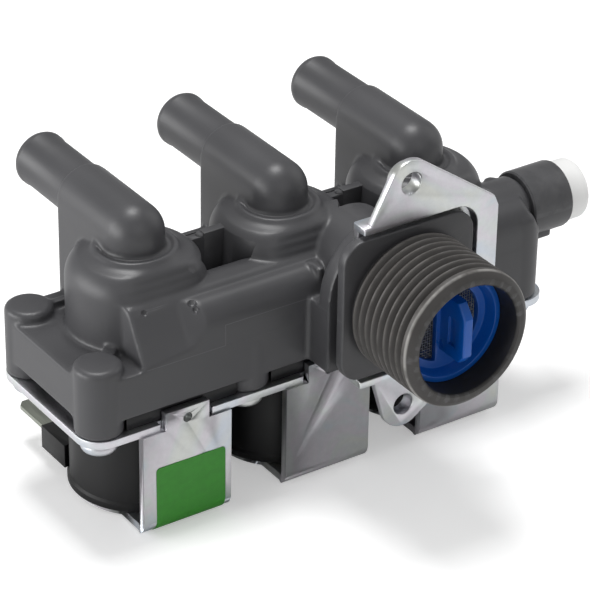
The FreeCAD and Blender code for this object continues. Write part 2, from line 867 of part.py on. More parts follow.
def filter_frame():
    """Blue strainer frame: rim, tapered cup, floor ring, cross bar and pull tab."""
    body = new_body("filter_frame", ("0", "0", "0"), "Y")
    revolve(body, "filter_cup", [
        ("filter_ring_inner", "filter_floor"),
        ("filter_floor_radius - filter_wall", "filter_floor"),
        ("filter_radius - filter_wall", "filter_face"),
        ("filter_radius", "filter_face"),
        ("filter_radius", "filter_face + filter_rim"),
        ("filter_floor_radius", "filter_floor + filter_wall"),
        ("filter_floor_radius", "filter_back + filter_skirt"),
        ("filter_ring_inner + 0.6", "filter_back + filter_skirt"),
        ("filter_ring_inner + 0.6", "filter_back"),
        ("filter_ring_inner", "filter_back"),
    ])
    bar = pad(body, "cross_bar", "XY_Plane", [
        ("-bar_width / 2", "-filter_ring_inner - 0.4"),
        ("bar_width / 2", "-filter_ring_inner - 0.4"),
        ("bar_width / 2", "filter_ring_inner + 0.4"),
        ("-bar_width / 2", "filter_ring_inner + 0.4"),
    ], "filter_floor_thick", "filter_floor")
    bar.Label = "cross_bar"
    tab = pad(body, "pull_tab", "YZ_Plane", [
        ("-tab_low", "tab_front"),
        ("-tab_bottom", "tab_bottom_back"),
        ("-tab_bottom", "filter_floor + 0.2"),
        ("-tab_top", "filter_floor + 0.2"),
        ("-tab_top", "tab_top_back"),
        ("-tab_high", "tab_front"),
    ], "tab_thick", "-tab_thick / 2")
    tab.Label = "pull_tab"
    for side, offset, reverse in (
        ("left", "-tab_thick / 2", True), ("right", "tab_thick / 2", False),
    ):
        pocket(body, f"tab_recess_{side}", "YZ_Plane", [
            ("-tab_low - 0.9", "tab_front + 2.6"),
            ("-tab_low - 0.9", "tab_front + 4.6"),
            ("-tab_high + 1.1", "tab_front + 4.6"),
            ("-tab_high + 1.1", "tab_front + 2.6"),
        ], "tab_recess", offset, reverse)
    soften(body, "tab_round", "0.4",
           lambda edge: edge.BoundBox.ZMax < value("filter_face")
           and abs(abs(edge.BoundBox.XMin) - value("tab_thick / 2")) < 0.01
           and edge.BoundBox.XLength < 0.01 and edge.BoundBox.ZMin < value("tab_front + 2.5"))
    piece("inlet_filter_frame", body)


def filter_mesh():
    body = new_body("filter_mesh", ("0", "filter_back", "0"), "Y")
    revolve(body, "mesh_disc", [
        ("0", "0"),
        ("filter_ring_inner + 0.55", "0"),
        ("filter_ring_inner + 0.55", "mesh_thick"),
        ("0", "mesh_thick"),
    ])
    piece("inlet_filter_mesh", body)


def flow_washer():
    """Rubber flow washer seated behind the filter."""
    body = new_body("flow_washer", ("0", "washer_front + washer_seat_depth", "0"), "Y")
    revolve(body, "washer_ring", [
        ("washer_hole", "-washer_thick"),
        ("washer_seat_radius - filter_gap", "-washer_thick"),
        ("washer_seat_radius - filter_gap", "0"),
        ("washer_hole + 0.6", "0"),
        ("washer_hole", "-0.8"),
    ])
    piece("flow_washer", body)


def side_plug():
    body = new_body("side_plug", ("port_end", "gallery_back", "gallery_high"), "X")
    revolve(body, "plug_profile_turn", [
        ("0", "-plug_spigot"),
        ("gallery_bore - running_gap", "-plug_spigot"),
        ("gallery_bore - running_gap", "0"),
        ("plug_radius", "0"),
        ("plug_radius", "plug_length - plug_round", "plug_round"),
        ("plug_radius - plug_round", "plug_length"),
        ("0", "plug_length"),
    ])
    piece("side_port_plug", body)


# Sheet steel


def coil_plate():
    """Plate under the body: notched for the yoke tongues and holed for tubes and screws."""
    body = new_body("coil_plate_body")
    pad(body, "plate_blank", "XY_Plane", [
        ("plate_left", "plate_front"),
        ("plate_right", "plate_front"),
        ("plate_right", "plate_back"),
        ("plate_left", "plate_back"),
    ], "plate_thick", "plate_bottom")
    soften(body, "plate_corners", "plate_corner", upright)
    holes(body, "tube_holes", "XY_Plane",
          [(valve_x(n), "valve_back") for n in (1, 2, 3)], "plate_bore",
          "plate_thick + 2", "plate_top + 1")
    holes(body, "screw_holes", "XY_Plane", boss_places(), "screw_hole",
          "plate_thick + 2", "plate_top + 1")
    for number in (1, 2, 3):
        for side, width, room, low, high in (
            ("front", "tongue_width", "stake_gap",
             "plate_front - 1", "yoke_front + yoke_thick + notch_gap"),
            ("back", "tongue_back", "notch_gap",
             "yoke_back - yoke_thick - notch_gap", "plate_back + 1"),
        ):
            left = f"{valve_x(number)} - {width} / 2 - {room}"
            right = f"{valve_x(number)} + {width} / 2 + {room}"
            pocket(body, f"notch_{side}_{number}", "XY_Plane", [
                (left, low), (right, low), (right, high), (left, high),
            ], "plate_thick + 2", "plate_top + 1")
    piece("coil_plate", body)


def yoke(number):
    """U of sheet steel: front leg, round floor and rear leg, tongues through the plate."""
    body = new_body(f"yoke_body_{number}", (valve_x(number), "valve_back", "0"))
    half = "(valve_back - yoke_front)"
    pad(body, f"yoke_strap_{number}", "YZ_Plane", [
        (f"-{half}", "plate_top + tongue_rise"),
        (f"-{half}", "yoke_low + yoke_bend", "yoke_bend"),
        (f"-{half} + yoke_bend", "yoke_low"),
        (f"{half} - yoke_bend", "yoke_low", "yoke_bend"),
        (half, "yoke_low + yoke_bend"),
        (half, "plate_top + tongue_rise"),
        (f"{half} - yoke_thick", "plate_top + tongue_rise"),
        (f"{half} - yoke_thick", "yoke_low + yoke_bend", "-(yoke_bend - yoke_thick)"),
        (f"{half} - yoke_bend", "yoke_floor"),
        (f"-{half} + yoke_bend", "yoke_floor", "-(yoke_bend - yoke_thick)"),
        (f"-{half} + yoke_thick", "yoke_low + yoke_bend"),
        (f"-{half} + yoke_thick", "plate_top + tongue_rise"),
    ], "2 * yoke_disc", "-yoke_disc")
    for name, sign in (("left", -1), ("right", 1)):
        edge = f"{sign} * (yoke_disc + 1)"
        leg = f"{sign} * yoke_width / 2"
        neck = f"{sign} * yoke_neck / 2"
        back_leg = f"{sign} * yoke_back_leg / 2"
        pocket(body, f"yoke_trim_{name}_{number}", "XY_Plane", [
            (edge, f"-{half} - 1"),
            (leg, f"-{half} - 1"),
            (leg, f"-{half} + yoke_thick"),
            (neck, f"-{half} + yoke_bend"),
            (neck, "-sqrt(yoke_disc ^ 2 - (yoke_neck / 2) ^ 2)", f"{sign} * yoke_disc"),
            (back_leg, "sqrt(yoke_disc ^ 2 - (yoke_back_leg / 2) ^ 2)"),
            (back_leg, f"{half} + 1"),
            (edge, f"{half} + 1"),
        ], "plate_top + tongue_rise - yoke_low + 2", "plate_top + tongue_rise + 1")
        for side, width, start in (
            ("front", "tongue_width", f"{half} + 2"), ("back", "tongue_back", "0"),
        ):
            pocket(body, f"shoulder_{side}_{name}_{number}", "XZ_Plane", [
                (f"{sign} * {width} / 2", "plate_bottom"),
                (edge, "plate_bottom"),
                (edge, "plate_top + tongue_rise + 1"),
                (f"{sign} * {width} / 2", "plate_top + tongue_rise + 1"),
            ], f"{half} + 2", start)
    holes(body, f"tongue_hole_{number}", "XZ_Plane", [("0", "plate_top")],
          "tongue_hole", f"{half}", f"{half} + 2")
    piece(f"yoke_{number}", body)


def rating_label():
    """Bare green label on the first yoke, wrapped under its bend."""
    body = new_body("label_body", (f"{valve_x(1)} + label_offset", "yoke_front", "0"))
    bend = "yoke_low + yoke_bend"
    outer = "(yoke_bend + label_thick)"
    pad(body, "label_strip", "YZ_Plane", [
        ("-label_thick", "label_high"),
        ("-label_thick", bend, outer),
        (f"yoke_bend - {outer} * cos(label_wrap)", f"{bend} - {outer} * sin(label_wrap)"),
        ("yoke_bend - yoke_bend * cos(label_wrap)", f"{bend} - yoke_bend * sin(label_wrap)",
         "-yoke_bend"),
        ("0", bend),
        ("0", "label_high"),
    ], "label_width", "-label_width / 2")
    soften(body, "label_corners", "0.8",
           lambda edge: along_y(edge) and near(edge.BoundBox.ZMin, "label_high"))
    piece("rating_label", body)


def mounting_bracket():
    """Inlet bracket: an ear and a lug joined down the right of the flange, with a
    joggled tray whose floor sits in the slot behind the flange."""
    body = new_body("bracket_body")
    ear = pad(body, "ear_sheet", "XZ_Plane", [
        ("-bracket_end", "bracket_tray"),
        ("-bracket_end + 1.3", "bracket_tray + 1.3"),
        ("-ear_radius * 0.885", "ear_hole + ear_radius * 0.466", "-ear_radius"),
        ("ear_radius * 0.588", "ear_hole + ear_radius * 0.809"),
        ("bracket_right - 0.9", "bracket_shoulder + 0.4"),
        ("bracket_right", "bracket_shoulder - 1.6"),
        ("bracket_right", "1.6 - bracket_shoulder"),
        ("bracket_right - 0.9", "-bracket_shoulder - 0.4"),
        ("lug_radius * 0.588", "-ear_hole - lug_radius * 0.809", "-lug_radius"),
        ("-lug_radius * 0.957", "-ear_hole - lug_radius * 0.29"),
        ("-bracket_end + 3.2", "-bracket_tray - 1.5"),
        ("-bracket_end", "-bracket_tray - 0.4"),
    ], "bracket_thick", "-bracket_front", True)
    ear.Label = "ear_sheet"
    outer = "(bracket_tray + bracket_thick)"
    pad(body, "tray", "XZ_Plane", [
        ("-bracket_end", f"-{outer}"),
        (outer, f"-{outer}"),
        (outer, outer),
        ("-bracket_end", outer),
    ], "bracket_joggle + bracket_thick", "-bracket_front", True)
    soften(body, "tray_corners", "flange_corner + bracket_thick",
           lambda edge: along_y(edge) and near(edge.BoundBox.XMin, outer)
           and abs(edge.BoundBox.ZMax) > value("bracket_tray"))
    pocket(body, "tray_hollow", "XZ_Plane", [
        ("-bracket_end - 1", "-bracket_tray"),
        ("bracket_tray - flange_corner", "-bracket_tray", "flange_corner"),
        ("bracket_tray", "flange_corner - bracket_tray"),
        ("bracket_tray", "bracket_tray - flange_corner", "flange_corner"),
        ("bracket_tray - flange_corner", "bracket_tray"),
        ("-bracket_end - 1", "bracket_tray"),
    ], "bracket_joggle", "-bracket_front")
    pocket(body, "throat", "XZ_Plane", [
        ("-bracket_end - 1", "-bracket_open"),
        ("0", "-bracket_open"),
        ("0", "bracket_open"),
        ("-bracket_end - 1", "bracket_open"),
    ], "bracket_joggle + bracket_thick + 1", "-bracket_front")
    holes(body, "throat_round", "XZ_Plane", [("0", "0")], "bracket_open",
          "bracket_joggle + bracket_thick + 1", "-bracket_front")
    discs(body, "fixing_collars", "XZ_Plane", [("0", "ear_hole"), ("0", "-ear_hole")],
          "fixing_collar", "bracket_thick + fixing_collar_length", "-bracket_front", True)
    holes(body, "fixing_holes", "XZ_Plane", [("0", "ear_hole"), ("0", "-ear_hole")],
          "fixing_radius", "bracket_thick + fixing_collar_length + 1", "-bracket_front")
    piece("mounting_bracket", body)


# Coils


def coil_case(number):
    """Black moulding round the winding, with two terminal lugs at the back."""
    body = new_body(f"coil_case_body_{number}", (valve_x(number), "valve_back", "0"))
    revolve(body, f"coil_shell_{number}", [
        ("winding_inner + coil_gap", "coil_low"),
        ("coil_lip", "coil_low"),
        ("coil_lip", "coil_low + coil_lip_high"),
        ("coil_radius", "coil_low + coil_lip_high + 0.4"),
        ("coil_radius", "coil_top"),
        ("winding_inner + coil_gap", "coil_top"),
    ])
    for name, sign in (("left", -1), ("right", 1)):
        points = [
            (f"{sign} * terminal_block_inner", "coil_radius - 4"),
            (f"{sign} * terminal_block_half", "coil_radius - 6"),
            (f"{sign} * terminal_block_half", "terminal_block_back"),
            (f"{sign} * terminal_block_inner", "terminal_block_back"),
        ]
        pad(body, f"terminal_lug_{name}_{number}", "XY_Plane", points,
            "terminal_block_high", "terminal_block_low")
    groove(body, f"winding_space_{number}", [
        ("bobbin_bore", "winding_low - bobbin_flange"),
        ("winding_radius + coil_gap", "winding_low - bobbin_flange"),
        ("winding_radius + coil_gap", "winding_top + bobbin_flange"),
        ("bobbin_bore", "winding_top + bobbin_flange"),
    ])
    for name, sign in (("left", -1), ("right", 1)):
        middle = f"{sign} * (terminal_block_half - blade_inset - blade_width / 2)"
        level = "terminal_top - blade_inset"
        pocket(body, f"blade_slot_{name}_{number}", "XZ_Plane", [
            (f"{middle} - blade_width / 2", f"{level} - blade_thick"),
            (f"{middle} + blade_width / 2", f"{level} - blade_thick"),
            (f"{middle} + blade_width / 2", level),
            (f"{middle} - blade_width / 2", level),
        ], "blade_root", "-terminal_block_back", True)
    piece(f"coil_case_{number}", body)


def bobbin(number):
    body = new_body(f"bobbin_body_{number}", (valve_x(number), "valve_back", "0"))
    revolve(body, f"bobbin_turn_{number}", [
        ("sleeve_radius", "coil_low"),
        ("winding_inner", "coil_low"),
        ("winding_inner", "winding_low - bobbin_flange"),
        ("winding_radius", "winding_low - bobbin_flange"),
        ("winding_radius", "winding_low"),
        ("winding_inner", "winding_low"),
        ("winding_inner", "winding_top"),
        ("winding_radius", "winding_top"),
        ("winding_radius", "winding_top + bobbin_flange"),
        ("winding_inner", "winding_top + bobbin_flange"),
        ("winding_inner", "coil_top"),
        ("bobbin_bore", "coil_top"),
        ("bobbin_bore", "coil_low + sleeve_length"),
        ("sleeve_radius", "coil_low + sleeve_length"),
    ])
    piece(f"coil_bobbin_{number}", body)


def winding(number):
    body = new_body(f"winding_body_{number}", (valve_x(number), "valve_back", "0"))
    revolve(body, f"winding_turn_{number}", [
        ("winding_inner", "winding_low"),
        ("winding_radius", "winding_low"),
        ("winding_radius", "winding_top"),
        ("winding_inner", "winding_top"),
    ])
    piece(f"coil_winding_{number}", body)


def flux_sleeve(number):
    body = new_body(f"sleeve_body_{number}", (valve_x(number), "valve_back", "0"))
    revolve(body, f"sleeve_turn_{number}", [
        ("sleeve_bore", "yoke_floor"),
        ("sleeve_radius", "yoke_floor"),
        ("sleeve_radius", "coil_low + sleeve_length"),
        ("sleeve_bore", "coil_low + sleeve_length"),
    ])
    piece(f"flux_sleeve_{number}", body)


def terminals(number):
    """Two flat push-on blades with chamfered tips and a latch hole."""
    blades = []
    for name, sign in (("left", -1), ("right", 1)):
        body = new_body(f"blade_body_{name}_{number}", (valve_x(number), "valve_back", "0"))
        middle = f"{sign} * (terminal_block_half - blade_inset - blade_width / 2)"
        tip = "terminal_block_back + blade_length"
        pad(body, f"blade_{name}_{number}", "XY_Plane", [
            (f"{middle} - blade_width / 2", "terminal_block_back - blade_root"),
            (f"{middle} + blade_width / 2", "terminal_block_back - blade_root"),
            (f"{middle} + blade_width / 2", f"{tip} - 1.2"),
            (f"{middle} + blade_width / 2 - 1", tip),
            (f"{middle} - blade_width / 2 + 1", tip),
            (f"{middle} - blade_width / 2", f"{tip} - 1.2"),
        ], "blade_thick", "terminal_top - blade_inset - blade_thick")
        holes(body, f"blade_latch_{name}_{number}", "XY_Plane", [(middle, f"{tip} - 4")],
              "blade_hole", "blade_thick + 2", "terminal_top + 1")
        blades.append(body)
    pair = doc.addObject("Part::Compound", f"blade_pair_{number}")
    pair.Links = blades
    piece(f"coil_terminals_{number}", pair)


# Bonnet and moving pieces


def bonnet(number):
    """Black bonnet: flange shaped round the bosses, clamping ring, closed guide tube."""
    body = new_body(f"bonnet_body_{number}", (valve_x(number), "valve_back", "0"))
    pad(body, f"bonnet_flange_{number}", "XY_Plane", [
        ("-bonnet_half_wide", "-bonnet_half_long"),
        ("bonnet_half_wide", "-bonnet_half_long"),
        ("bonnet_half_wide", "bonnet_half_long"),
        ("-bonnet_half_wide", "bonnet_half_long"),
    ], "bonnet_gap", "plate_top")
    corners = [
        (f"{x} * valve_pitch / 2", f"{y} * screw_row / 2") for x in (-1, 1) for y in (-1, 1)
    ]
    holes(body, f"boss_clearance_{number}", "XY_Plane", corners,
          "boss_radius + bonnet_clear", "bonnet_gap + 2", "block_low + 1")
    revolve(body, f"bonnet_tube_{number}", [
        ("0", "guide_low"),
        ("guide_radius", "guide_low"),
        ("guide_radius", "plate_top"),
        ("recess_radius - seal_gap", "plate_top"),
        ("recess_radius - seal_gap", "seal_low"),
        ("0", "seal_low"),
    ])
    groove(body, f"bonnet_cup_{number}", [
        ("0", "bonnet_cup_floor"),
        ("recess_radius - bonnet_ring", "bonnet_cup_floor"),
        ("recess_radius - bonnet_ring", "seal_low + 1"),
        ("0", "seal_low + 1"),
    ])
    groove(body, f"guide_hole_{number}", [
        ("0", "guide_floor"),
        ("guide_bore", "guide_floor"),
        ("guide_bore", "bonnet_cup_floor + 1"),
        ("0", "bonnet_cup_floor + 1"),
    ])
    piece(f"bonnet_{number}", body)


def diaphragm(number):
    """Rubber diaphragm: clamped rim, thin web and a hole for the insert's stem."""
    body = new_body(f"diaphragm_body_{number}", (valve_x(number), "valve_back", "0"))
    revolve(body, f"diaphragm_turn_{number}", [
        ("insert_stem", "web_low"),
        ("recess_radius - bonnet_ring - 0.3", "web_low"),
        ("recess_radius - bonnet_ring - 0.3", "seal_low"),
        ("recess_radius - seal_gap", "seal_low"),
        ("recess_radius - seal_gap", "recess_top"),
        ("insert_stem", "recess_top"),
    ])
    piece(f"diaphragm_{number}", body)


def diaphragm_insert(number):
    """Hard centre of the diaphragm with the pilot hole and its small seat."""
    body = new_body(f"insert_body_{number}", (valve_x(number), "valve_back", "0"))
    revolve(body, f"insert_turn_{number}", [
        ("pilot_hole", "pilot_seat"),
        ("insert_nub_radius", "pilot_seat"),
        ("insert_nub_radius", "insert_low"),
        ("insert_radius", "insert_low"),
        ("insert_radius", "web_low"),
        ("insert_stem - running_gap", "web_low"),
        ("insert_stem - running_gap", "recess_top + insert_stem_rise"),
        ("pilot_hole", "recess_top + insert_stem_rise"),
    ])
    piece(f"diaphragm_insert_{number}", body)


def plunger(number):
    """Steel plunger, bored below for its spring and above for its rubber tip."""
    body = new_body(f"plunger_body_{number}", (valve_x(number), "valve_back", "0"))
    revolve(body, f"plunger_turn_{number}", [
        ("spring_bore", "plunger_low"),
        ("plunger_radius - 0.4", "plunger_low"),
        ("plunger_radius", "plunger_low + 0.4"),
        ("plunger_radius", "plunger_top - 0.4"),
        ("plunger_radius - 0.4", "plunger_top"),
        ("tip_radius", "plunger_top"),
        ("tip_radius", "pilot_seat - tip_length"),
        ("0", "pilot_seat - tip_length"),
        ("0", "spring_top"),
        ("spring_bore", "spring_top"),
    ])
    piece(f"plunger_{number}", body)


def plunger_tip(number):
    body = new_body(f"tip_body_{number}", (valve_x(number), "valve_back", "0"))
    revolve(body, f"tip_turn_{number}", [
        ("0", "pilot_seat - tip_length"),
        ("tip_radius", "pilot_seat - tip_length"),
        ("tip_radius", "plunger_top"),
        ("tip_radius - 0.3", "pilot_seat"),
        ("0", "pilot_seat"),
    ])
    piece(f"plunger_tip_{number}", body)


def spring(number):
    """Compression spring between the guide tube's end and the plunger."""
    helix = doc.addObject("Part::Helix", f"spring_path_{number}")
    lift = "(spring_top - guide_floor - 2 * spring_wire)"
    bind(helix, Radius="spring_radius", Height=lift, Pitch=f"{lift} / spring_turns")
    place(helix, (valve_x(number), "valve_back", "guide_floor + spring_wire"))
    ring = doc.addObject("Part::Circle", f"spring_section_{number}")
    bind(ring, Radius="spring_wire")
    place(ring, (f"{valve_x(number)} + spring_radius", "valve_back", "guide_floor + spring_wire"))
    ring.Placement = FreeCAD.Placement(
        ring.Placement.Base, FreeCAD.Rotation(FreeCAD.Vector(1, 0, 0), 90))
    coil = doc.addObject("Part::Sweep", f"spring_coil_{number}")
    coil.Sections = [ring]
    coil.Spine = (helix, [])
    coil.Solid = True
    coil.Frenet = True
    piece(f"plunger_spring_{number}", coil)


def plate_screws():
    """Eight pan-head screws driven up through the plate into the bosses."""
    sketch = doc.addObject("Sketcher::SketchObject", "screw_profile")
    sketch.Placement = FreeCAD.Placement(
        FreeCAD.Vector(), FreeCAD.Rotation(FreeCAD.Vector(1, 0, 0), 90))
    trace(sketch, [
        ("0", "-screw_head_high + screw_recess"),
        ("0.9", "-screw_head_high"),
        ("screw_head - 1", "-screw_head_high", "1.3"),
        ("screw_head", "-0.7"),
        ("screw_head", "0"),
        ("screw_shank", "0"),
        ("screw_shank", "screw_length - 1.2"),
        ("0", "screw_length"),
    ])
    screws = []
    for number, (across, back) in enumerate(boss_places(), start=1):
        turned = doc.addObject("Part::Revolution", f"screw_{number}")
        turned.Source = sketch
        turned.Axis = FreeCAD.Vector(0, 0, 1)
        turned.Angle = 360
        turned.Solid = True
        screws.append(place(turned, (across, back, "plate_bottom")))
    group = doc.addObject("Part::Compound", "screw_group")
    group.Links = screws
    piece("plate_screws", group)


def build():
    valve_body()
    filter_frame()
    filter_mesh()
    flow_washer()
    side_plug()
    coil_plate()
    mounting_bracket()
    rating_label()
    plate_screws()
    for number in (1, 2, 3):
        for make in (
            yoke, coil_case, bobbin, winding, flux_sleeve, terminals, bonnet,
            diaphragm, diaphragm_insert, plunger, plunger_tip, spring,
        ):
            make(number)
    doc.recompute()


def check():
    """Stop if any object failed or any piece has no valid shape."""
    faults = []
    for item in doc.Objects:
        if any(state in ("Invalid", "Error") for state in item.State):
            faults.append(item.Name)
    for label, item in PIECES.items():
        if item.Shape.isNull() or not item.Shape.isValid() or not item.Shape.Solids:
            faults.append(label + " has no valid shape")
    if faults:
        raise RuntimeError(", ".join(faults))


def export():
    os.makedirs("parts", exist_ok=True)
    for label, item in PIECES.items():
        item.Shape.exportStep(f"parts/{label}.step")
        print(label, len(item.Shape.Solids), round(item.Shape.Volume, 1))


build()
check()
export()
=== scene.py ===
import math

import bmesh
import bpy
from mathutils import Matrix, Vector


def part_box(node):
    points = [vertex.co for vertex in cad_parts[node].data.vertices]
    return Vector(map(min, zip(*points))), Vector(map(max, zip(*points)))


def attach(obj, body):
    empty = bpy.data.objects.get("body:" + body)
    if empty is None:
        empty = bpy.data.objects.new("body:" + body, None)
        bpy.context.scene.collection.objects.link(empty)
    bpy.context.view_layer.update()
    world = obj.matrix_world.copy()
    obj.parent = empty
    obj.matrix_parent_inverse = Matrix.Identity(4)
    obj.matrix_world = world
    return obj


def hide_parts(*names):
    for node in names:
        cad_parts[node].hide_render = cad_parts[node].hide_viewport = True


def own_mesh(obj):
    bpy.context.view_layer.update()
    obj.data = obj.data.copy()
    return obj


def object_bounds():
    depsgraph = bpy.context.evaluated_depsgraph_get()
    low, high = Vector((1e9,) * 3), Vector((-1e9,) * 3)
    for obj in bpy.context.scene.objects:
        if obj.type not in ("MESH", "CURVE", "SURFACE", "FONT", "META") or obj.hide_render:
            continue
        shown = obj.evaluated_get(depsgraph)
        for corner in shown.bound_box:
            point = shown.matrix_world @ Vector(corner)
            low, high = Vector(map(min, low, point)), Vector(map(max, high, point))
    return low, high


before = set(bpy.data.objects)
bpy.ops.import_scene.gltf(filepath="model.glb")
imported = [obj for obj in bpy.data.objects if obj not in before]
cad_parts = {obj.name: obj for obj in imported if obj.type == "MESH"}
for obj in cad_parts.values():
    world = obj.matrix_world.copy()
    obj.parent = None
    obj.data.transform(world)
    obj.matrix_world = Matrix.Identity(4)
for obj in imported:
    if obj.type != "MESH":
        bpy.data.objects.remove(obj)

bl_info = {
    "name": "Triple Inlet Valve",
    "version": (1, 0, 0),
    "blender": (4, 5, 0),
    "location": "View3D > Sidebar > Inlet Valve",
    "description": "Dresses the packed inlet valve and sets it on a pale stage",
    "category": "Object",
}

CAD_BOX = [list(corner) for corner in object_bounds()]
MM = 0.001
VALVES = (1, 2, 3)
TURNS = {
    "Z": Matrix.Identity(4),
    "Y": Matrix.Rotation(math.radians(-90), 4, "X"),
    "X": Matrix.Rotation(math.radians(90), 4, "Y"),
}


# Sizes and colours


def length(label, words, default):
    return bpy.props.FloatProperty(
        name=label, description=words, default=default, unit="LENGTH", precision=5)


def colour(label, words, default):
    return bpy.props.FloatVectorProperty(
        name=label, description=words, default=default, subtype="COLOR", size=3,
        min=0.0, max=1.0)


class ValveSizes(bpy.types.PropertyGroup):
    valve_pitch: length("Valve pitch", "Distance between neighbouring valves", 0.0303)
    valve_left: length("First valve", "X of the left valve's axis", -0.04025)
    valve_back: length("Valve row", "Y of the valves' axes", 0.0452)
    outlet_high: length("Outlet height", "Z of the outlets' axes", 0.01245)
    elbow_radius: length("Elbow radius", "Radius of an outlet elbow", 0.00565)
    stub_radius: length("Stub radius", "Radius of a hose stub", 0.00514)
    thread_radius: length("Thread radius", "Crest radius of the inlet thread", 0.01322)
    thread_depth: length("Thread depth", "Crest to root of the inlet thread", 0.00116)
    thread_pitch: length("Thread pitch", "Distance between crests", 0.001814)
    voxel: length("Blend grain", "Voxel size in which the moulded forms blend", 0.00036)
    edge_round: length("Edge rounding", "Width of the rounding on sheet edges", 0.00022)
    wire_pitch: length("Wire pitch", "Distance between wires of the strainer", 0.00052)
    plunger_travel: length("Plunger travel", "How far a plunger presses its spring", 0.0024)


class ValveColours(bpy.types.PropertyGroup):
    body: colour("Body", "Dark grey moulding", (0.056, 0.056, 0.060))
    inlet: colour("Inlet", "Warmer grey of the threaded inlet", (0.036, 0.033, 0.031))
    zinc: colour("Zinc", "Plated sheet steel", (0.60, 0.635, 0.66))
    filter: colour("Filter", "Blue strainer frame", (0.0006, 0.088, 0.42))
    label: colour("Label", "Bare rating label", (0.024, 0.24, 0.009))
    coil: colour("Coil", "Black coil moulding", (0.005, 0.005, 0.0055))
    plug: colour("Plug", "White port plug", (0.90, 0.90, 0.89))
    blade: colour("Blade", "Tinned terminal blade", (0.36, 0.38, 0.33))
    floor: colour("Floor", "Pale stage floor", (0.86, 0.86, 0.86))


# Shapes in millimetres


def turned(work, profile, centre=(0, 0, 0), axis="Z", steps=96, closed=False):
    """Spin an outline of (radius, height) points about an axis through centre."""
    place = Matrix.Translation(Vector(centre)) @ TURNS[axis]
    verts = [work.verts.new(place @ Vector((radius, 0, high))) for radius, high in profile]
    edges = [work.edges.new(pair) for pair in zip(verts, verts[1:])]
    if closed:
        edges.append(work.edges.new((verts[-1], verts[0])))
    before = len(work.faces)
    bmesh.ops.spin(
        work, geom=verts + edges, cent=Vector(centre), dvec=(0, 0, 0),
        axis=place.to_3x3() @ Vector((0, 0, 1)), angle=math.tau, steps=steps,
        space=Matrix.Identity(4), use_merge=True, use_normal_flip=False, use_duplicate=False)
    work.faces.ensure_lookup_table()
    faces = work.faces[before:]
    spun = list({vert for face in faces for vert in face.verts})
    bmesh.ops.remove_doubles(work, verts=spun, dist=1e-4)
    faces = [face for face in work.faces[before:] if face.is_valid]
    bmesh.ops.recalc_face_normals(work, faces=faces)
    return faces


def rod(work, centre, radius, size, axis="Z", steps=96, chamfer=0.0):
    """A cylinder that starts at centre and runs along an axis."""
    if chamfer:
        side = [(radius - chamfer, 0), (radius, chamfer), (radius, size - chamfer),
                (radius - chamfer, size)]
    else:
        side = [(radius, 0), (radius, size)]
    turned(work, [(0, 0), *side, (0, size)], centre, axis, steps)


def arc(centre, radius, start, end, count):
    """Points along an arc, angles in degrees."""
    angles = [math.radians(start + (end - start) * n / count) for n in range(count + 1)]
    return [(centre[0] + radius * math.cos(a), centre[1] + radius * math.sin(a)) for a in angles]


def edges_of(verts):
    return {edge for vert in verts for edge in vert.link_edges}


def slab(work, low, high, corner=0.0, axis="Z", soft=0.0):
    """A box between two corners: its edges along an axis are rounded by corner, and
    then the edges that are still sharp by soft."""
    low, high = Vector(low), Vector(high)
    made = bmesh.ops.create_cube(work, size=1.0)["verts"]
    bmesh.ops.scale(work, vec=high - low, verts=made)
    bmesh.ops.translate(work, vec=(low + high) / 2, verts=made)
    if corner:
        letter = "XYZ".index(axis)
        along = [edge for edge in edges_of(made)
                 if abs((edge.verts[0].co - edge.verts[1].co)[letter]) > 1e-6]
        made = bevel(work, along, corner, 8)
    if soft:
        around = [edge for edge in edges_of(made) if edge.is_valid
                  and edge.calc_face_angle(0) > math.radians(60)]
        bevel(work, around, soft, 3)


def turned_slab(work, size, centre, angle):
    """A box turned about Z by an angle in degrees."""
    made = bmesh.ops.create_cube(work, size=1.0)["verts"]
    bmesh.ops.scale(work, vec=size, verts=made)
    bmesh.ops.rotate(work, cent=(0, 0, 0), verts=made,
                     matrix=Matrix.Rotation(math.radians(angle), 3, "Z"))
    bmesh.ops.translate(work, vec=centre, verts=made)


def bevel(work, edges, width, segments):
    """Round some edges and return the verts of the new faces and of their neighbours."""
    made = bmesh.ops.bevel(
        work, geom=list(edges), offset=width, offset_type="OFFSET", segments=segments,
        profile=0.5, affect="EDGES", clamp_overlap=True, material=-1)
    return [vert for vert in made["verts"] if vert.is_valid] + [
        vert for face in made["faces"] if face.is_valid for near in face.edges
        for wide in near.link_faces for vert in wide.verts]


def prism(work, start, first, end, last):
    """Span two outlines of (Y, Z) points with equal counts, from X start to X end."""
    first = [work.verts.new((start, back, high)) for back, high in first]
    last = [work.verts.new((end, back, high)) for back, high in last]
    count = len(first)
    faces = [work.faces.new(first), work.faces.new(last)]
    for n in range(count):
        follow = (n + 1) % count
        faces.append(work.faces.new((first[n], first[follow], last[follow], last[n])))
    bmesh.ops.recalc_face_normals(work, faces=faces)


def form(make, *places, **settings):
    """One shape in a bmesh of its own."""
    work = bmesh.new()
    make(work, *places, **settings)
    return work


def to_object(work, name):
    """Write a bmesh to a new object and free it."""
    mesh = bpy.data.meshes.new(name)
    work.to_mesh(mesh)
    work.free()
    return linked(name, mesh)


def linked(name, data):
    """A new object for some data, linked to the scene."""
    made = bpy.data.objects.new(name, data)
    bpy.context.scene.collection.objects.link(made)
    return made


def apply_modifiers(piece):
    graph = bpy.context.evaluated_depsgraph_get()
    graph.update()
    old = piece.data
    piece.data = bpy.data.meshes.new_from_object(piece.evaluated_get(graph))
    piece.modifiers.clear()
    bpy.data.meshes.remove(old)


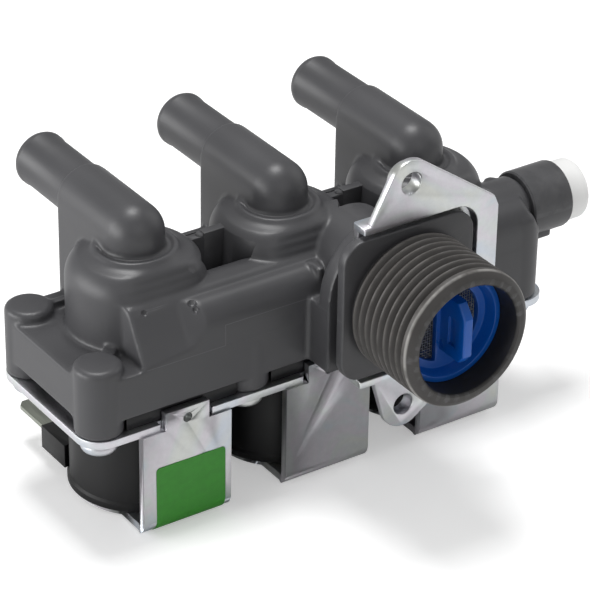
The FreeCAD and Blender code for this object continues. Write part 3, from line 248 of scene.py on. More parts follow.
def combine(piece, tool, operation):
    """Join a tool shape to a piece, or take it away."""
    step = piece.modifiers.new(operation.lower(), "BOOLEAN")
    step.operation = operation
    step.object = tool
    step.solver = "MANIFOLD"
    apply_modifiers(piece)
    bpy.data.objects.remove(tool)


def settle(piece, angle=34):
    """Turn a shape's millimetres into metres and shade it smooth up to an angle."""
    piece.data.transform(Matrix.Scale(MM, 4))
    for face in piece.data.polygons:
        face.use_smooth = True
    piece.data.set_sharp_from_angle(angle=math.radians(angle))


def give_finish(mesh, finish):
    mesh.materials.clear()
    mesh.materials.append(FINISHES[finish])


def dress(piece, finish, replaces, body="valve"):
    """Give a piece its finish and its body, and hide the nodes that it stands for."""
    give_finish(piece.data, finish)
    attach(piece, body)
    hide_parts(*replaces)


# Shader effects

GROUPS = {}
FINISHES = {}
FLOAT, COLOUR = "NodeSocketFloat", "NodeSocketColor"


def new_group(name, inputs, outputs):
    """An empty node group with named sockets, with its two end nodes."""
    tree = bpy.data.node_groups.new(name, "ShaderNodeTree")
    for label, kind, default in inputs:
        socket = tree.interface.new_socket(name=label, in_out="INPUT", socket_type=kind)
        socket.default_value = default
    for label, kind in outputs:
        tree.interface.new_socket(name=label, in_out="OUTPUT", socket_type=kind)
    return tree, tree.nodes.new("NodeGroupInput"), tree.nodes.new("NodeGroupOutput")


def fill(tree, made, values):
    """Give a node's inputs their values, or link them to the sockets given."""
    for key, given in values.items():
        if isinstance(given, bpy.types.NodeSocket):
            tree.links.new(given, made.inputs[key])
        else:
            made.inputs[key].default_value = given
    return made


def node(tree, kind, values, **settings):
    """A new node with its settings and the values or links of its inputs."""
    made = tree.nodes.new(kind)
    for key, setting in settings.items():
        setattr(made, key, setting)
    return fill(tree, made, values)


def use_group(tree, name, values):
    return node(tree, "ShaderNodeGroup", values, node_tree=GROUPS[name])


def object_place(tree):
    """Object coordinates, which every pattern follows."""
    return tree.nodes.new("ShaderNodeTexCoord").outputs["Object"]


def noise(tree, vector, scale, detail=3.0, rough=0.5, distortion=0.0):
    return node(tree, "ShaderNodeTexNoise", {
        "Vector": vector, "Scale": scale, "Detail": detail, "Roughness": rough,
        "Distortion": distortion}).outputs["Fac"]


def stretched(tree, vector, scale):
    return node(tree, "ShaderNodeMapping", {"Vector": vector, "Scale": scale}).outputs["Vector"]


def remap(tree, fac, low, high, to_low=0.0, to_high=1.0):
    return node(tree, "ShaderNodeMapRange", {
        "Value": fac, "From Min": low, "From Max": high, "To Min": to_low,
        "To Max": to_high}, clamp=True).outputs["Result"]


def maths(tree, operation, first, second=0.0):
    return node(tree, "ShaderNodeMath", {0: first, 1: second},
                operation=operation).outputs["Value"]


def times(tree, first, second):
    return maths(tree, "MULTIPLY", first, second)


def plus(tree, first, second):
    return maths(tree, "ADD", first, second)


def mixed(tree, fac, first, second, blend="MIX"):
    """Two colours mixed; a Mix node's sockets are found by number, since names repeat."""
    return node(tree, "ShaderNodeMix", {0: fac, 6: first, 7: second},
                data_type="RGBA", blend_type=blend).outputs[2]


def band(tree, value, middle, half, fade=0.00004):
    """One where a value lies within half of a middle, falling to nothing over fade."""
    away = maths(tree, "ABSOLUTE", maths(tree, "SUBTRACT", value, middle))
    return remap(tree, away, half + fade, half)


def rgba(colours, gain=1.0):
    return (*[min(1.0, part * gain) for part in colours], 1.0)


def two_tone(tree, fac, base, dark, light):
    """A colour that wanders between a darker and a lighter shade of itself."""
    return mixed(tree, fac, rgba(base, dark), rgba(base, light))


def grain_group():
    """Moulded plastic: fine pitted grain, soft mottling and a roughness that follows."""
    tree, start, end = new_group("Moulding Grain", [
        ("Grain Scale", FLOAT, 1500.0), ("Mottle Scale", FLOAT, 90.0),
        ("Rough Low", FLOAT, 0.36), ("Rough High", FLOAT, 0.48),
    ], [("Height", FLOAT), ("Mottle", FLOAT), ("Roughness", FLOAT)])
    spot = object_place(tree)
    fine = noise(tree, spot, start.outputs["Grain Scale"], 2.0, 0.6)
    broad = noise(tree, spot, start.outputs["Mottle Scale"], 4.0, 0.55, 0.4)
    flow = noise(tree, spot, 28.0, 2.0, 0.5, 1.2)
    mottle = plus(tree, times(tree, broad, 0.6), times(tree, flow, 0.4))
    rough = node(tree, "ShaderNodeMapRange", {
        "Value": mottle, "From Min": 0.35, "From Max": 0.65,
        "To Min": start.outputs["Rough Low"], "To Max": start.outputs["Rough High"]})
    fill(tree, end, {
        "Height": plus(tree, times(tree, fine, 0.5), times(tree, broad, 0.9)),
        "Mottle": remap(tree, mottle, 0.32, 0.68),
        "Roughness": rough.outputs["Result"]})
    return tree


def wear_group():
    """Rubbed edges: where the surface is sharply convex, broken up by noise."""
    tree, start, end = new_group("Edge Wear", [
        ("Low", FLOAT, 0.53), ("High", FLOAT, 0.60), ("Break Scale", FLOAT, 260.0),
    ], [("Mask", FLOAT)])
    edge = node(tree, "ShaderNodeMapRange", {
        "Value": tree.nodes.new("ShaderNodeNewGeometry").outputs["Pointiness"],
        "From Min": start.outputs["Low"], "From Max": start.outputs["High"]})
    patches = noise(tree, object_place(tree), start.outputs["Break Scale"], 4.0, 0.6)
    fill(tree, end, {
        "Mask": times(tree, edge.outputs["Result"], remap(tree, patches, 0.38, 0.62))})
    return tree


def zinc_group():
    """Passivated zinc: cool base with faint pink, blue and straw blooms, and rolled streaks."""
    tree, start, end = new_group("Zinc Bloom", [
        ("Base", COLOUR, (0.6, 0.62, 0.645, 1.0)), ("Bloom", FLOAT, 0.5),
    ], [("Color", COLOUR), ("Roughness", FLOAT), ("Height", FLOAT)])
    spot = object_place(tree)
    ramp = node(tree, "ShaderNodeValToRGB", {"Fac": noise(tree, spot, 55.0, 3.0, 0.55, 1.5)})
    stops = [
        (0.30, (0.50, 0.60, 0.86)), (0.42, (0.66, 0.66, 0.68)), (0.50, (0.78, 0.62, 0.70)),
        (0.58, (0.70, 0.69, 0.64)), (0.70, (0.80, 0.76, 0.58)),
    ]
    elements = ramp.color_ramp.elements
    elements[0].position, elements[0].color = stops[0][0], rgba(stops[0][1])
    elements[1].position, elements[1].color = stops[-1][0], rgba(stops[-1][1])
    for place, shade in stops[1:-1]:
        elements.new(place).color = rgba(shade)
    tinted = mixed(tree, start.outputs["Bloom"], start.outputs["Base"], ramp.outputs["Color"])
    specks = remap(tree, noise(tree, spot, 900.0, 3.0, 0.7), 0.3, 0.7, 0.96, 1.03)
    shade = node(tree, "ShaderNodeCombineColor", {"Red": specks, "Green": specks, "Blue": specks})
    rolled = noise(tree, stretched(tree, spot, (60.0, 700.0, 700.0)), 1.0, 3.0, 0.6)
    cloudy = noise(tree, spot, 160.0, 3.0, 0.6)
    fill(tree, end, {
        "Color": mixed(tree, 1.0, tinted, shade.outputs["Color"], "MULTIPLY"),
        "Roughness": plus(tree, remap(tree, rolled, 0.3, 0.7, 0.30, 0.36),
                          remap(tree, cloudy, 0.35, 0.65, 0.0, 0.06)),
        "Height": rolled})
    return tree


# Finishes

# Painted highlight on the inlet's thread crests
CREST_HIGHLIGHT = (0.085, 0.078, 0.072)
# Painted highlight round the rim of the inlet's mouth
RIM_HIGHLIGHT = (0.42, 0.41, 0.39)
EDGE_RUB = (0.17, 0.17, 0.175)

# Zones of the body in metres: where a mask is nothing, then where it is full
INLET_TONE = (0.0183, 0.0180)
INLET_WEAR = (0.0184, 0.0180)
CREST_RADII = (0.01285, 0.01315)
BORE_SHADE_RADII = (0.0108, 0.0106)
RIM_RADII = (0.0129, 0.0131)
RIM_DEPTHS = (0.00155, 0.00125)
SEAM_DEPTHS = (0.0294, 0.0292)
SEAM_HALF = 0.00004


def new_finish(name):
    """A material with only a Principled shader in it."""
    material = bpy.data.materials.new(name)
    material.use_nodes = True
    FINISHES[name] = material
    return material.node_tree, material.node_tree.nodes["Principled BSDF"]


def bumped(tree, shader, height, strength, distance=0.00002):
    made = node(tree, "ShaderNodeBump", {
        "Height": height, "Strength": strength, "Distance": distance})
    tree.links.new(made.outputs["Normal"], shader.inputs["Normal"])


def plastic(name, base, rough, mottle=0.10, grain=1500.0, specular=0.5):
    """Moulded plastic in one colour with mottling and grain."""
    tree, shader = new_finish(name)
    mould = use_group(tree, "grain", {
        "Grain Scale": grain, "Rough Low": rough[0], "Rough High": rough[1]})
    fill(tree, shader, {
        "Base Color": two_tone(tree, mould.outputs["Mottle"], base, 1 - mottle, 1 + mottle),
        "Roughness": mould.outputs["Roughness"],
        "Specular IOR Level": specular})
    bumped(tree, shader, mould.outputs["Height"], 0.35)


def metal(name, base, rough, streaks=(500.0, 500.0, 500.0)):
    """Plain metal with fine machining streaks."""
    tree, shader = new_finish(name)
    fine = noise(tree, stretched(tree, object_place(tree), streaks), 2.0, 3.0, 0.6)
    fill(tree, shader, {
        "Base Color": two_tone(tree, remap(tree, fine, 0.3, 0.7), base, 0.85, 1.1),
        "Roughness": remap(tree, fine, 0.3, 0.7, *rough),
        "Metallic": 1.0})
    bumped(tree, shader, fine, 0.2)


def zinc_finish(name, base, bloom):
    tree, shader = new_finish(name)
    zinc = use_group(tree, "zinc", {"Base": base, "Bloom": bloom})
    fill(tree, shader, {
        "Base Color": zinc.outputs["Color"], "Roughness": zinc.outputs["Roughness"],
        "Metallic": 1.0})
    bumped(tree, shader, zinc.outputs["Height"], 0.12)


def label_finish(base):
    """Bare printed film: even colour with faint fibres and a dulled sheen."""
    tree, shader = new_finish("Label Film")
    spot = object_place(tree)
    fibres = noise(tree, spot, 800.0, 4.0, 0.6)
    patch = noise(tree, spot, 120.0, 2.0, 0.5)
    fill(tree, shader, {
        "Base Color": two_tone(tree, remap(tree, fibres, 0.3, 0.7), base, 0.92, 1.08),
        "Roughness": remap(tree, patch, 0.3, 0.7, 0.38, 0.5)})
    bumped(tree, shader, fibres, 0.15)


def body_finish(colours):
    """Dark moulding: warmer and drier on the threaded inlet, with painted highlights on its
    thread crests and round its mouth, and painted shade in its bore.
    """
    tree, shader = new_finish("Body Moulding")
    mould = use_group(tree, "grain", {
        "Grain Scale": 1100.0, "Mottle Scale": 70.0, "Rough Low": 0.37, "Rough High": 0.47})
    wear = use_group(tree, "wear", {"Low": 0.515, "High": 0.60, "Break Scale": 320.0})
    spot = object_place(tree)
    parts = node(tree, "ShaderNodeSeparateXYZ", {"Vector": spot})
    across, back, high = (parts.outputs[letter] for letter in "XYZ")
    radius = maths(tree, "SQRT", plus(tree, times(tree, across, across),
                                      times(tree, high, high)))
    grey = two_tone(tree, mould.outputs["Mottle"], colours.body, 0.93, 1.08)
    warm = two_tone(tree, mould.outputs["Mottle"], colours.inlet, 0.9, 1.1)
    tone = mixed(tree, remap(tree, back, *INLET_TONE), grey, warm)
    on_inlet = remap(tree, back, *INLET_WEAR)
    crest = times(tree, remap(tree, radius, *CREST_RADII), on_inlet)
    # Painted highlight: the thread crests made lighter in uneven patches
    crest_patches = remap(tree, noise(tree, spot, 300.0, 4.0, 0.65), 0.35, 0.62, 0.15, 0.75)
    tone = mixed(tree, times(tree, crest, crest_patches), tone, rgba(CREST_HIGHLIGHT))
    # Painted shade: the inside of the inlet's bore darkened to 0.22 of the inlet's grey
    bore_shade = times(tree, remap(tree, radius, *BORE_SHADE_RADII), on_inlet)
    tone = mixed(tree, bore_shade, tone, rgba(colours.inlet, 0.22))
    # Painted highlight: a light line round the rim of the inlet's mouth, broken up in patches
    rim = times(tree, remap(tree, radius, *RIM_RADII), remap(tree, back, *RIM_DEPTHS))
    rim_patches = remap(tree, noise(tree, spot, 190.0, 3.0, 0.6), 0.34, 0.6)
    tone = mixed(tree, times(tree, times(tree, rim, rim_patches), 0.6), tone, rgba(RIM_HIGHLIGHT))
    tone = mixed(tree, times(tree, wear.outputs["Mask"], 0.35), tone, rgba(EDGE_RUB))
    seam = parting_line(tree, across, back, high)
    tone = mixed(tree, times(tree, seam, 0.5), tone, rgba(colours.body, 2.4))
    fill(tree, shader, {
        "Base Color": tone,
        "Roughness": plus(tree, mould.outputs["Roughness"], times(tree, on_inlet, 0.07))})
    bumped(tree, shader, mould.outputs["Height"], 0.4, 0.00003)


def parting_line(tree, across, back, high):
    """Mask of the fine step that the mould leaves on the front of the gallery: a low
    line, a riser and a high line, each with its middle and half along Z and along X."""
    low, riser, rest = (
        times(tree, band(tree, high, *tall), band(tree, across, *wide))
        for tall, wide in (((-0.0052, SEAM_HALF), (-0.0399, 0.0081)),
                           ((-0.00315, 0.00207), (-0.0318, SEAM_HALF)),
                           ((-0.0011, SEAM_HALF), (-0.02295, 0.00885))))
    seam = maths(tree, "MAXIMUM", maths(tree, "MAXIMUM", low, riser), rest)
    return times(tree, seam, remap(tree, back, *SEAM_DEPTHS))


def make_finishes(colours):
    GROUPS.update(grain=grain_group(), wear=wear_group(), zinc=zinc_group())
    body_finish(colours)
    # Lit and shaded copies of one zinc: painted light on the plate and the bracket, painted shade
    # on the yokes
    zinc_finish("Zinc Painted Light", rgba(colours.zinc, 1.1), 0.30)
    zinc_finish("Zinc Painted Shade", rgba(colours.zinc, 0.86), 0.30)
    zinc_finish("Zinc Screw", rgba(colours.zinc, 0.9), 0.25)
    label_finish(colours.label)
    plastic("Coil Black", colours.coil, (0.34, 0.5), 0.15, specular=0.35)
    plastic("Bonnet Black", (0.006, 0.006, 0.007), (0.3, 0.42), 0.15, specular=0.35)
    plastic("Filter Blue", colours.filter, (0.26, 0.36), 0.08)
    plastic("Plug White", colours.plug, (0.34, 0.46), 0.03)
    plastic("Bobbin Nylon", (0.58, 0.55, 0.47), (0.4, 0.5), 0.06)
    plastic("Insert White", (0.72, 0.72, 0.70), (0.4, 0.5), 0.04)
    plastic("Rubber", (0.022, 0.022, 0.022), (0.6, 0.75), 0.2, 2500.0)
    metal("Blade Tin", colours.blade, (0.3, 0.42), (900.0, 90.0, 900.0))
    metal("Copper Wire", (0.72, 0.28, 0.12), (0.25, 0.35), (60.0, 60.0, 5000.0))
    metal("Plunger Steel", (0.52, 0.52, 0.52), (0.25, 0.35), (90.0, 90.0, 3000.0))
    metal("Sleeve Steel", (0.36, 0.36, 0.36), (0.35, 0.45))
    metal("Gauze Wire", (0.50, 0.50, 0.49), (0.3, 0.4))


# Moulded body: places in millimetres, X along the row of valves, Y back and Z up

BLOCK_LEFT, BLOCK_RIGHT = -59.7, 39.8
BLOCK_FRONT, BLOCK_BACK = 28.8, 61.6
BLOCK_CORNER = 4.95
FOOT = -13.8
POCKET_FLOOR = -10.3
LEDGE = -5.3
ROOTED = -12.0  # forms that stand on the block start here, inside it
GALLERY = (37.2, -1.0)  # Y and Z of its axis
HOUSING_FRONT = 28.85
BOSS_ROWS = (33.1, 57.3)
BOSS_RADIUS = 4.45
BOSS_TOP = -3.2
ODD_BOSS_TOPS = {2: -6.3, 4: -6.3, 6: 0.6}
PORT_BOSS = 6
FLANGE_HALF = 14.1
FLANGE_BACK = 22.65
WEB_FRONT, WEB_BACK = 45.6, 47.4
ELBOW_BEHIND = 0.7  # from a chamber's axis back to that of its elbow
WATER_WAY = 4.0  # radius of the gallery's and the chambers' bores
THREAD_RIDGES = 9
DIMPLES = (  # X, Y and Z of the middle, then the radius
    (-45.55, 33.37, 3.47, 0.75), (-36.7, 32.17, 3.45, 0.95), (-36.6, 31.1, 2.5, 0.7))


def valve_places():
    """X of the valves' axes."""
    sizes = bpy.context.scene.valve_sizes
    return [(sizes.valve_left + n * sizes.valve_pitch) / MM for n in range(len(VALVES))]


def pocket_places():
    """X of the middle of each gap between two chambers."""
    half = bpy.context.scene.valve_sizes.valve_pitch / MM / 2
    return [across + half for across in valve_places()[:-1]]


def boss_places():
    """X and Y of the screw bosses, a front one and a back one beside each valve."""
    sizes = bpy.context.scene.valve_sizes
    left, pitch = (sizes.valve_left - sizes.valve_pitch / 2) / MM, sizes.valve_pitch / MM
    return [(left + n * pitch, back) for n in range(len(VALVES) + 1) for back in BOSS_ROWS]


def row_of(profile, back, high, axis="Z", steps=96):
    """The same turned shape at each valve, in one bmesh."""
    work = bmesh.new()
    for across in valve_places():
        turned(work, profile, (across, back, high), axis, steps)
    return work


def housing_profile(wall, front):
    """(Y, Z) outline of the gallery housing, from its foot up the round back and over
    two fine ridges with a groove between them, then down the eight points of its front
    to an upright wall of the height given."""
    return [(HOUSING_FRONT, -12.8), (39.78, -12.8), *arc(GALLERY, 5.5, -62, 76, 10),
            (37.4, 4.45), (34.9, 4.3), (34.4, 4.1), (33.8, 3.45), *front,
            (HOUSING_FRONT, wall)]


def flat_housing(wall):
    """Outline whose front leans straight from the ridge to the wall."""
    return housing_profile(
        wall, [(33.5 - 4.65 * n / 8, 3.1 + (wall - 3.1) * n / 8) for n in range(8)])


def round_housing(wall):
    """Outline whose front curves from the ridge down to the wall."""
    turns = [math.radians(90 - n * 90 / 8) for n in range(8)]
    return housing_profile(
        wall, [(HOUSING_FRONT + 4.25 * (1 - math.cos(a)), wall + 5.5 * math.sin(a))
               for a in turns])


def dome_profile():
    """(radius, Z) outline of a chamber: round shoulder, slope and a rim round the elbow."""
    return [(0, FOOT), (12.7, FOOT), (12.7, 2.5), (12.7, 3.4),
            *arc((7.3, 4.2), 5.4, 0, 57, 20),
            (9.45, 8.85), (8.0, 9.45), (7.6, 10.2), (6.9, 10.2), (6.5, 9.6), (0, 9.6)]


def flatten_front(faces):
    """Hold a chamber's shoulder behind a plane that leans back from the gallery's ridge,
    in shallow waves and with a soft passage into the round."""
    ridge, lean, soft = 34.5, 0.42, 1.5
    crown, reach_down = 4.1, 1.7
    swell, wave_length = 0.1, 1.45
    for vert in {vert for face in faces for vert in face.verts}:
        high = vert.co.z - crown
        if high > -reach_down:
            wave = swell * math.sin(math.tau * high / wave_length)
            front = ridge + lean * max(high, 0) + wave
            ahead = vert.co.y - front
            vert.co.y = front + (ahead + math.hypot(ahead, soft)) / 2


def lean_back(faces, front):
    """Shear the top of a column so that it climbs towards the neck of the port and
    falls away beside the collar."""
    root, climb, fall, collar = -2.0, 0.44, 1.3, 36.5
    for vert in {vert for face in faces for vert in face.verts}:
        if vert.co.z > root:
            vert.co.z += climb * (vert.co.y - front) - fall * max(0.0, vert.co.x - collar)


def base_forms(work):
    """Block with its raised ends, the floor and fronts of the pockets, the rim behind
    them and the screw bosses."""
    slab(work, (BLOCK_LEFT, BLOCK_FRONT, FOOT), (BLOCK_RIGHT, BLOCK_BACK, POCKET_FLOOR),
         BLOCK_CORNER)
    for left, right in ((BLOCK_LEFT, -41.0), (21.0, BLOCK_RIGHT)):
        slab(work, (left, BLOCK_FRONT, ROOTED), (right, BLOCK_BACK, LEDGE), BLOCK_CORNER)
    slab(work, (-55.0, BLOCK_FRONT, ROOTED), (35.0, 39.8, LEDGE))
    for middle in pocket_places():
        slab(work, (middle - 6.0, 36.0, ROOTED), (middle + 6.0, 45.4, 3.9))
    slab(work, (-40.0, 60.3, ROOTED), (21.0, BLOCK_BACK, -1.0))
    for number, (across, row) in enumerate(boss_places()):
        top = ODD_BOSS_TOPS.get(number, BOSS_TOP)
        faces = turned(work, [
            (0, -16.8), (BOSS_RADIUS, -16.8), *arc((3.35, top - 1.1), 1.1, 0, 90, 5),
            (0, top + 0.1)], (across, row, 0))
        if number == PORT_BOSS:
            lean_back(faces, row - BOSS_RADIUS)
    turned_slab(work, (14.0, 2.5, 2.4), (-49.9, 37.5, -5.0), 38.6)
    slab(work, (-55.4, 56.1, -6.0), (-43.3, 57.7, -3.8))


def gallery_forms(work):
    """Housing along the gallery, which drops in two steps at its left end, the neck of
    the side port with its rests, and the collar behind the flange."""
    low, middle, full = flat_housing(-5.2), flat_housing(-3.8), round_housing(-2.0)
    prism(work, -48.6, low, -38.8, middle)
    prism(work, -38.9, middle, -35.6, full)
    prism(work, -35.8, full, 36.0, full)
    slab(work, (-11.9, 29.4, -2.0), (-10.3, 33.2, 3.9), 0.6)
    rod(work, (30.9, *GALLERY), 5.8, 9.0, "X")
    slab(work, (38.3, 33.2, -7.65), (44.5, *GALLERY))
    rod(work, (34.6, 40.2, -1.0), 1.2, 5.3)
    slab(work, (-FLANGE_HALF, FLANGE_BACK, FOOT), (FLANGE_HALF, 30.8, -1.0))
    turned(work, [(0, FLANGE_BACK), (FLANGE_HALF, FLANGE_BACK), (FLANGE_HALF, 25.85),
                  (9.6, 29.45), (9.6, 41.2), (0, 41.2)], axis="Y")
    rod(work, (0, 19.35, 0), 11.8, 5.0, "Y")


def blended_forms(work, sizes):
    """Forms of the moulding that run into each other with fillets."""
    back = sizes.valve_back / MM
    row = back + ELBOW_BEHIND
    high = sizes.outlet_high / MM
    elbow = sizes.elbow_radius / MM
    upright = [(0, -14.0), (elbow, -14.0), (elbow, high),
               *arc((0, high), elbow, 6, 84, 13), (0, high + elbow)]
    base_forms(work)
    gallery_forms(work)
    for across in valve_places():
        flatten_front(turned(work, dome_profile(), (across, back, 0)))
        turned(work, upright, (across, row, 0))
        rod(work, (across, row, high), elbow, 17.2, "Y")
        slab(work, (across - elbow, row, FOOT), (across + elbow, 63.1, high))


def thread_profile(sizes):
    """Outline of the inlet stub: chamfered mouth, rounded ridges, root to the flange."""
    crest, pitch = sizes.thread_radius / MM, sizes.thread_pitch / MM
    root = crest - sizes.thread_depth / MM
    points = [(0, 0.0), (11.9, 0.0), (12.1, 0.08), (crest - 0.25, 0.9), (crest - 0.05, 1.1),
              (crest, 1.3)]
    for ridge in range(THREAD_RIDGES):
        middle = 2.0 + ridge * pitch
        groove = middle + pitch / 2
        if ridge:
            points += [(crest - 0.12, middle - 0.30), (crest, middle - 0.15)]
        points += [(crest, middle + 0.15), (crest - 0.12, middle + 0.30),
                   (root + 0.1, groove - 0.24), (root, groove - 0.1)]
        if ridge < THREAD_RIDGES - 1:
            points += [(root, groove + 0.1), (root + 0.1, groove + 0.24)]
    return points + [(root, 19.0), (0, 19.0)]


def crisp_forms(sizes):
    """Forms that meet the moulding with a plain edge: thread, flange, hose stubs and
    the collar of the side port."""
    yield form(turned, thread_profile(sizes), axis="Y", steps=160)
    yield form(slab, (-FLANGE_HALF, 18.35, -FLANGE_HALF), (FLANGE_HALF, 20.35, FLANGE_HALF),
               4.5, "Y", 0.3)
    stub = sizes.stub_radius / MM
    yield row_of([(0, 62.0), (stub, 62.0), (stub, 77.2), (stub + 0.18, 77.6),
                  (stub + 0.2, 78.5), (stub - 0.05, 79.0), (stub - 0.3, 79.1), (0, 79.1)],
                 0, sizes.outlet_high / MM, "Y")
    yield form(turned, [(0, 38.3), (6.2, 38.3), (6.5, 38.6), (6.55, 46.9), (6.45, 47.3),
                        (0, 47.3)], (0, *GALLERY), "X")


def pocket_tool(middle):
    """Cored pocket in front of the web wall: it follows both chambers with a draft
    and curves round the gallery pipe."""
    back = bpy.context.scene.valve_sizes.valve_back / MM
    half = bpy.context.scene.valve_sizes.valve_pitch / MM / 2
    box = form(slab, (middle - 7.5, 38.2, POCKET_FLOOR), (middle + 7.5, WEB_FRONT, 13.0), 1.6)
    tool = to_object(box, "pocket")
    for side in (-half, half):
        chamber = form(turned, [(0, -12.0), (13.1, -12.0), (11.55, 7.6), (9.0, 14.0),
                                (0, 14.0)], (middle + side, back, 0))
        combine(tool, to_object(chamber, "keep"), "DIFFERENCE")
    pipe = form(rod, (middle - 9.0, *GALLERY), 5.5, 18.0, "X")
    combine(tool, to_object(pipe, "keep"), "DIFFERENCE")
    return tool


def web_wall(middle):
    """Wall that joins two chambers: its right half stands a little higher, with the
    nub of the gate between the halves."""
    for left, right, top in ((-4.9, -0.5, 7.2), (-0.6, 5.4, 7.75)):
        yield form(slab, (middle + left, WEB_FRONT, -11.0), (middle + right, WEB_BACK, top),
                   soft=0.12)
    yield form(rod, (middle - 0.9, 46.5, 6.5), 0.85, 1.1, steps=20, chamfer=0.25)


def hollows(sizes):
    """Water ways, screw holes, the groove beside the collar and the dimples, in groups
    whose shapes don't meet."""
    back, high = sizes.valve_back / MM, sizes.outlet_high / MM
    yield row_of([
        (0, -15.0), (12.0, -15.0), (12.0, -10.2), (10.9, -10.2), (10.9, 1.0), (8.8, 3.0),
        (8.8, 5.3), (5.7, 5.3), (5.7, -10.2), (WATER_WAY, -10.2), (WATER_WAY, high),
        *arc((0, high), WATER_WAY, 10, 80, 7), (0, high + WATER_WAY)], back, 0, steps=64)
    yield row_of([(0, back), (3.5, back), (3.5, 78.7), (4.0, 80.0), (0, 80.0)],
                 0, high, "Y", 64)
    yield form(rod, (-44.3, *GALLERY), WATER_WAY, 93.0, "X", 64)
    yield form(turned, [
        (0, -1.0), (10.95, -1.0), (10.95, 0.0), (10.6, 0.3), (10.5, 0.5), (10.5, 17.15),
        (8.2, 17.15), (8.2, 20.15), (5.6, 20.15), (5.6, 37.2), (0, 37.2)], axis="Y", steps=128)
    work = bmesh.new()
    for across, row in boss_places():
        rod(work, (across, row, -17.8), 1.25, 11.0, steps=24)
    yield work
    yield form(turned, [(5.2, 37.5), (7.6, 37.1), (7.6, 38.3), (5.2, 38.3)],
               (0, *GALLERY), "X", closed=True)
    work = bmesh.new()
    for *middle, wide in DIMPLES:
        bmesh.ops.create_uvsphere(work, u_segments=20, v_segments=12, radius=wide,
                                  matrix=Matrix.Translation(middle))
    yield work


class VALVE_OT_body(bpy.types.Operator):
    """Mould the body: blended forms, pockets with their walls, crisp forms, then hollows"""
    bl_idname = "valve.body"
    bl_label = "Moulded Body"

    def execute(self, context):
        sizes = context.scene.valve_sizes
        body = to_object(form(blended_forms, sizes), "body_moulding")
        blend = body.modifiers.new("blend", "REMESH")
        blend.mode = "VOXEL"
        blend.voxel_size = sizes.voxel / MM
        relax = body.modifiers.new("relax", "SMOOTH")
        relax.factor = 0.5
        relax.iterations = 6
        thin = body.modifiers.new("thin", "DECIMATE")
        thin.ratio = 0.25
        apply_modifiers(body)
        for middle in pocket_places():
            combine(body, pocket_tool(middle), "DIFFERENCE")
            for work in web_wall(middle):
                combine(body, to_object(work, "wall"), "UNION")
        for work in crisp_forms(sizes):
            combine(body, to_object(work, "form"), "UNION")
        for work in hollows(sizes):
            combine(body, to_object(work, "hollow"), "DIFFERENCE")
        settle(body, 38)
        dress(body, "Body Moulding", ["valve_body"])
        return {"FINISHED"}


# Strainer, sheet steel, coils and small pieces

SHARP = math.radians(32)


def softened(name, source, width, finish, segments=2):
    """A merged copy of a CAD node with its sharp edges rounded, in the node's place."""
    work = bmesh.new()
    work.from_mesh(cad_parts[source].data)
    bmesh.ops.scale(work, vec=(1 / MM,) * 3, verts=work.verts)
    bmesh.ops.remove_doubles(work, verts=work.verts, dist=0.002)
    bmesh.ops.dissolve_limit(work, angle_limit=math.radians(0.6), verts=work.verts,
                             edges=work.edges, use_dissolve_boundaries=False, delimit=set())
    sharp_edges = [edge for edge in work.edges
                   if edge.is_manifold and edge.calc_face_angle(0) > SHARP]
    bevel(work, sharp_edges, width, segments)
    piece = to_object(work, name)
    settle(piece)
    dress(piece, finish, [source])


class VALVE_OT_sheet_steel(bpy.types.Operator):
    """Round the edges of the plate, the bracket and the yokes and plate them, with painted light
    on the plate and the bracket and painted shade on the yokes
    """
    bl_idname = "valve.sheet_steel"
    bl_label = "Sheet Steel"

    def execute(self, context):
        width = context.scene.valve_sizes.edge_round / MM
        for source in ("coil_plate", "mounting_bracket", "yoke_1", "yoke_2", "yoke_3"):
            # The yokes take the zinc with painted shade, the plate and the bracket the zinc with
            # painted light
            finish = "Zinc Painted Shade" if source.startswith("yoke") else "Zinc Painted Light"
            softened(source + "_sheet", source, width, finish)
        return {"FINISHED"}


class VALVE_OT_coils(bpy.types.Operator):
    """Round the coil mouldings, the bonnets and the push-on blades"""
    bl_idname = "valve.coils"
    bl_label = "Coils"

    def execute(self, context):
        kinds = (
            ("coil_moulding", "coil_case", 0.3, "Coil Black", "coil"),
            ("bonnet_moulding", "bonnet", 0.25, "Bonnet Black", "bonnet"),
            ("push_on_blades", "coil_terminals", 0.12, "Blade Tin", "blade"),
        )
        for number in VALVES:
            for name, source, width, finish, slot in kinds:
                softened(f"{name}_{number}", f"{source}_{number}", width, finish)
        return {"FINISHED"}


class VALVE_OT_strainer(bpy.types.Operator):
    """Blue strainer frame with rounded edges and a woven gauze behind it"""
    bl_idname = "valve.strainer"
    bl_label = "Strainer"

    def execute(self, context):
        softened("strainer_frame", "inlet_filter_frame", 0.25, "Filter Blue", 3)
        gauze = woven_gauze(context.scene.valve_sizes.wire_pitch / MM)
        dress(gauze, "Gauze Wire", ["inlet_filter_mesh"])
        return {"FINISHED"}


def woven_gauze(pitch):
    """Round disc of plain-woven wire, each wire waving over and under the next."""
    wire, wave, inset = 0.085, 0.075, 0.15
    low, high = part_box("inlet_filter_mesh")
    middle = (low.y + high.y) / 2 / MM
    radius = (high.x - low.x) / 2 / MM - inset
    work = bmesh.new()
    count = int(radius / pitch)
    for way in (0, 1):
        for line in range(-count, count + 1):
            offset = line * pitch
            reach = math.sqrt(max(radius ** 2 - offset ** 2, 0))
            if reach < 2 * pitch:
                continue
            knots = int(reach / pitch)
            spine = []
            for knot in range(-2 * knots, 2 * knots + 1):
                along = knot * pitch / 2
                turn = (1 if (knot // 2 + line + way) % 2 else -1) if knot % 2 == 0 else 0
                spine.append((along, turn * wave))
            tube(work, spine, offset, way, wire, middle)
    piece = to_object(work, "woven_gauze")
    settle(piece, 80)
    return piece


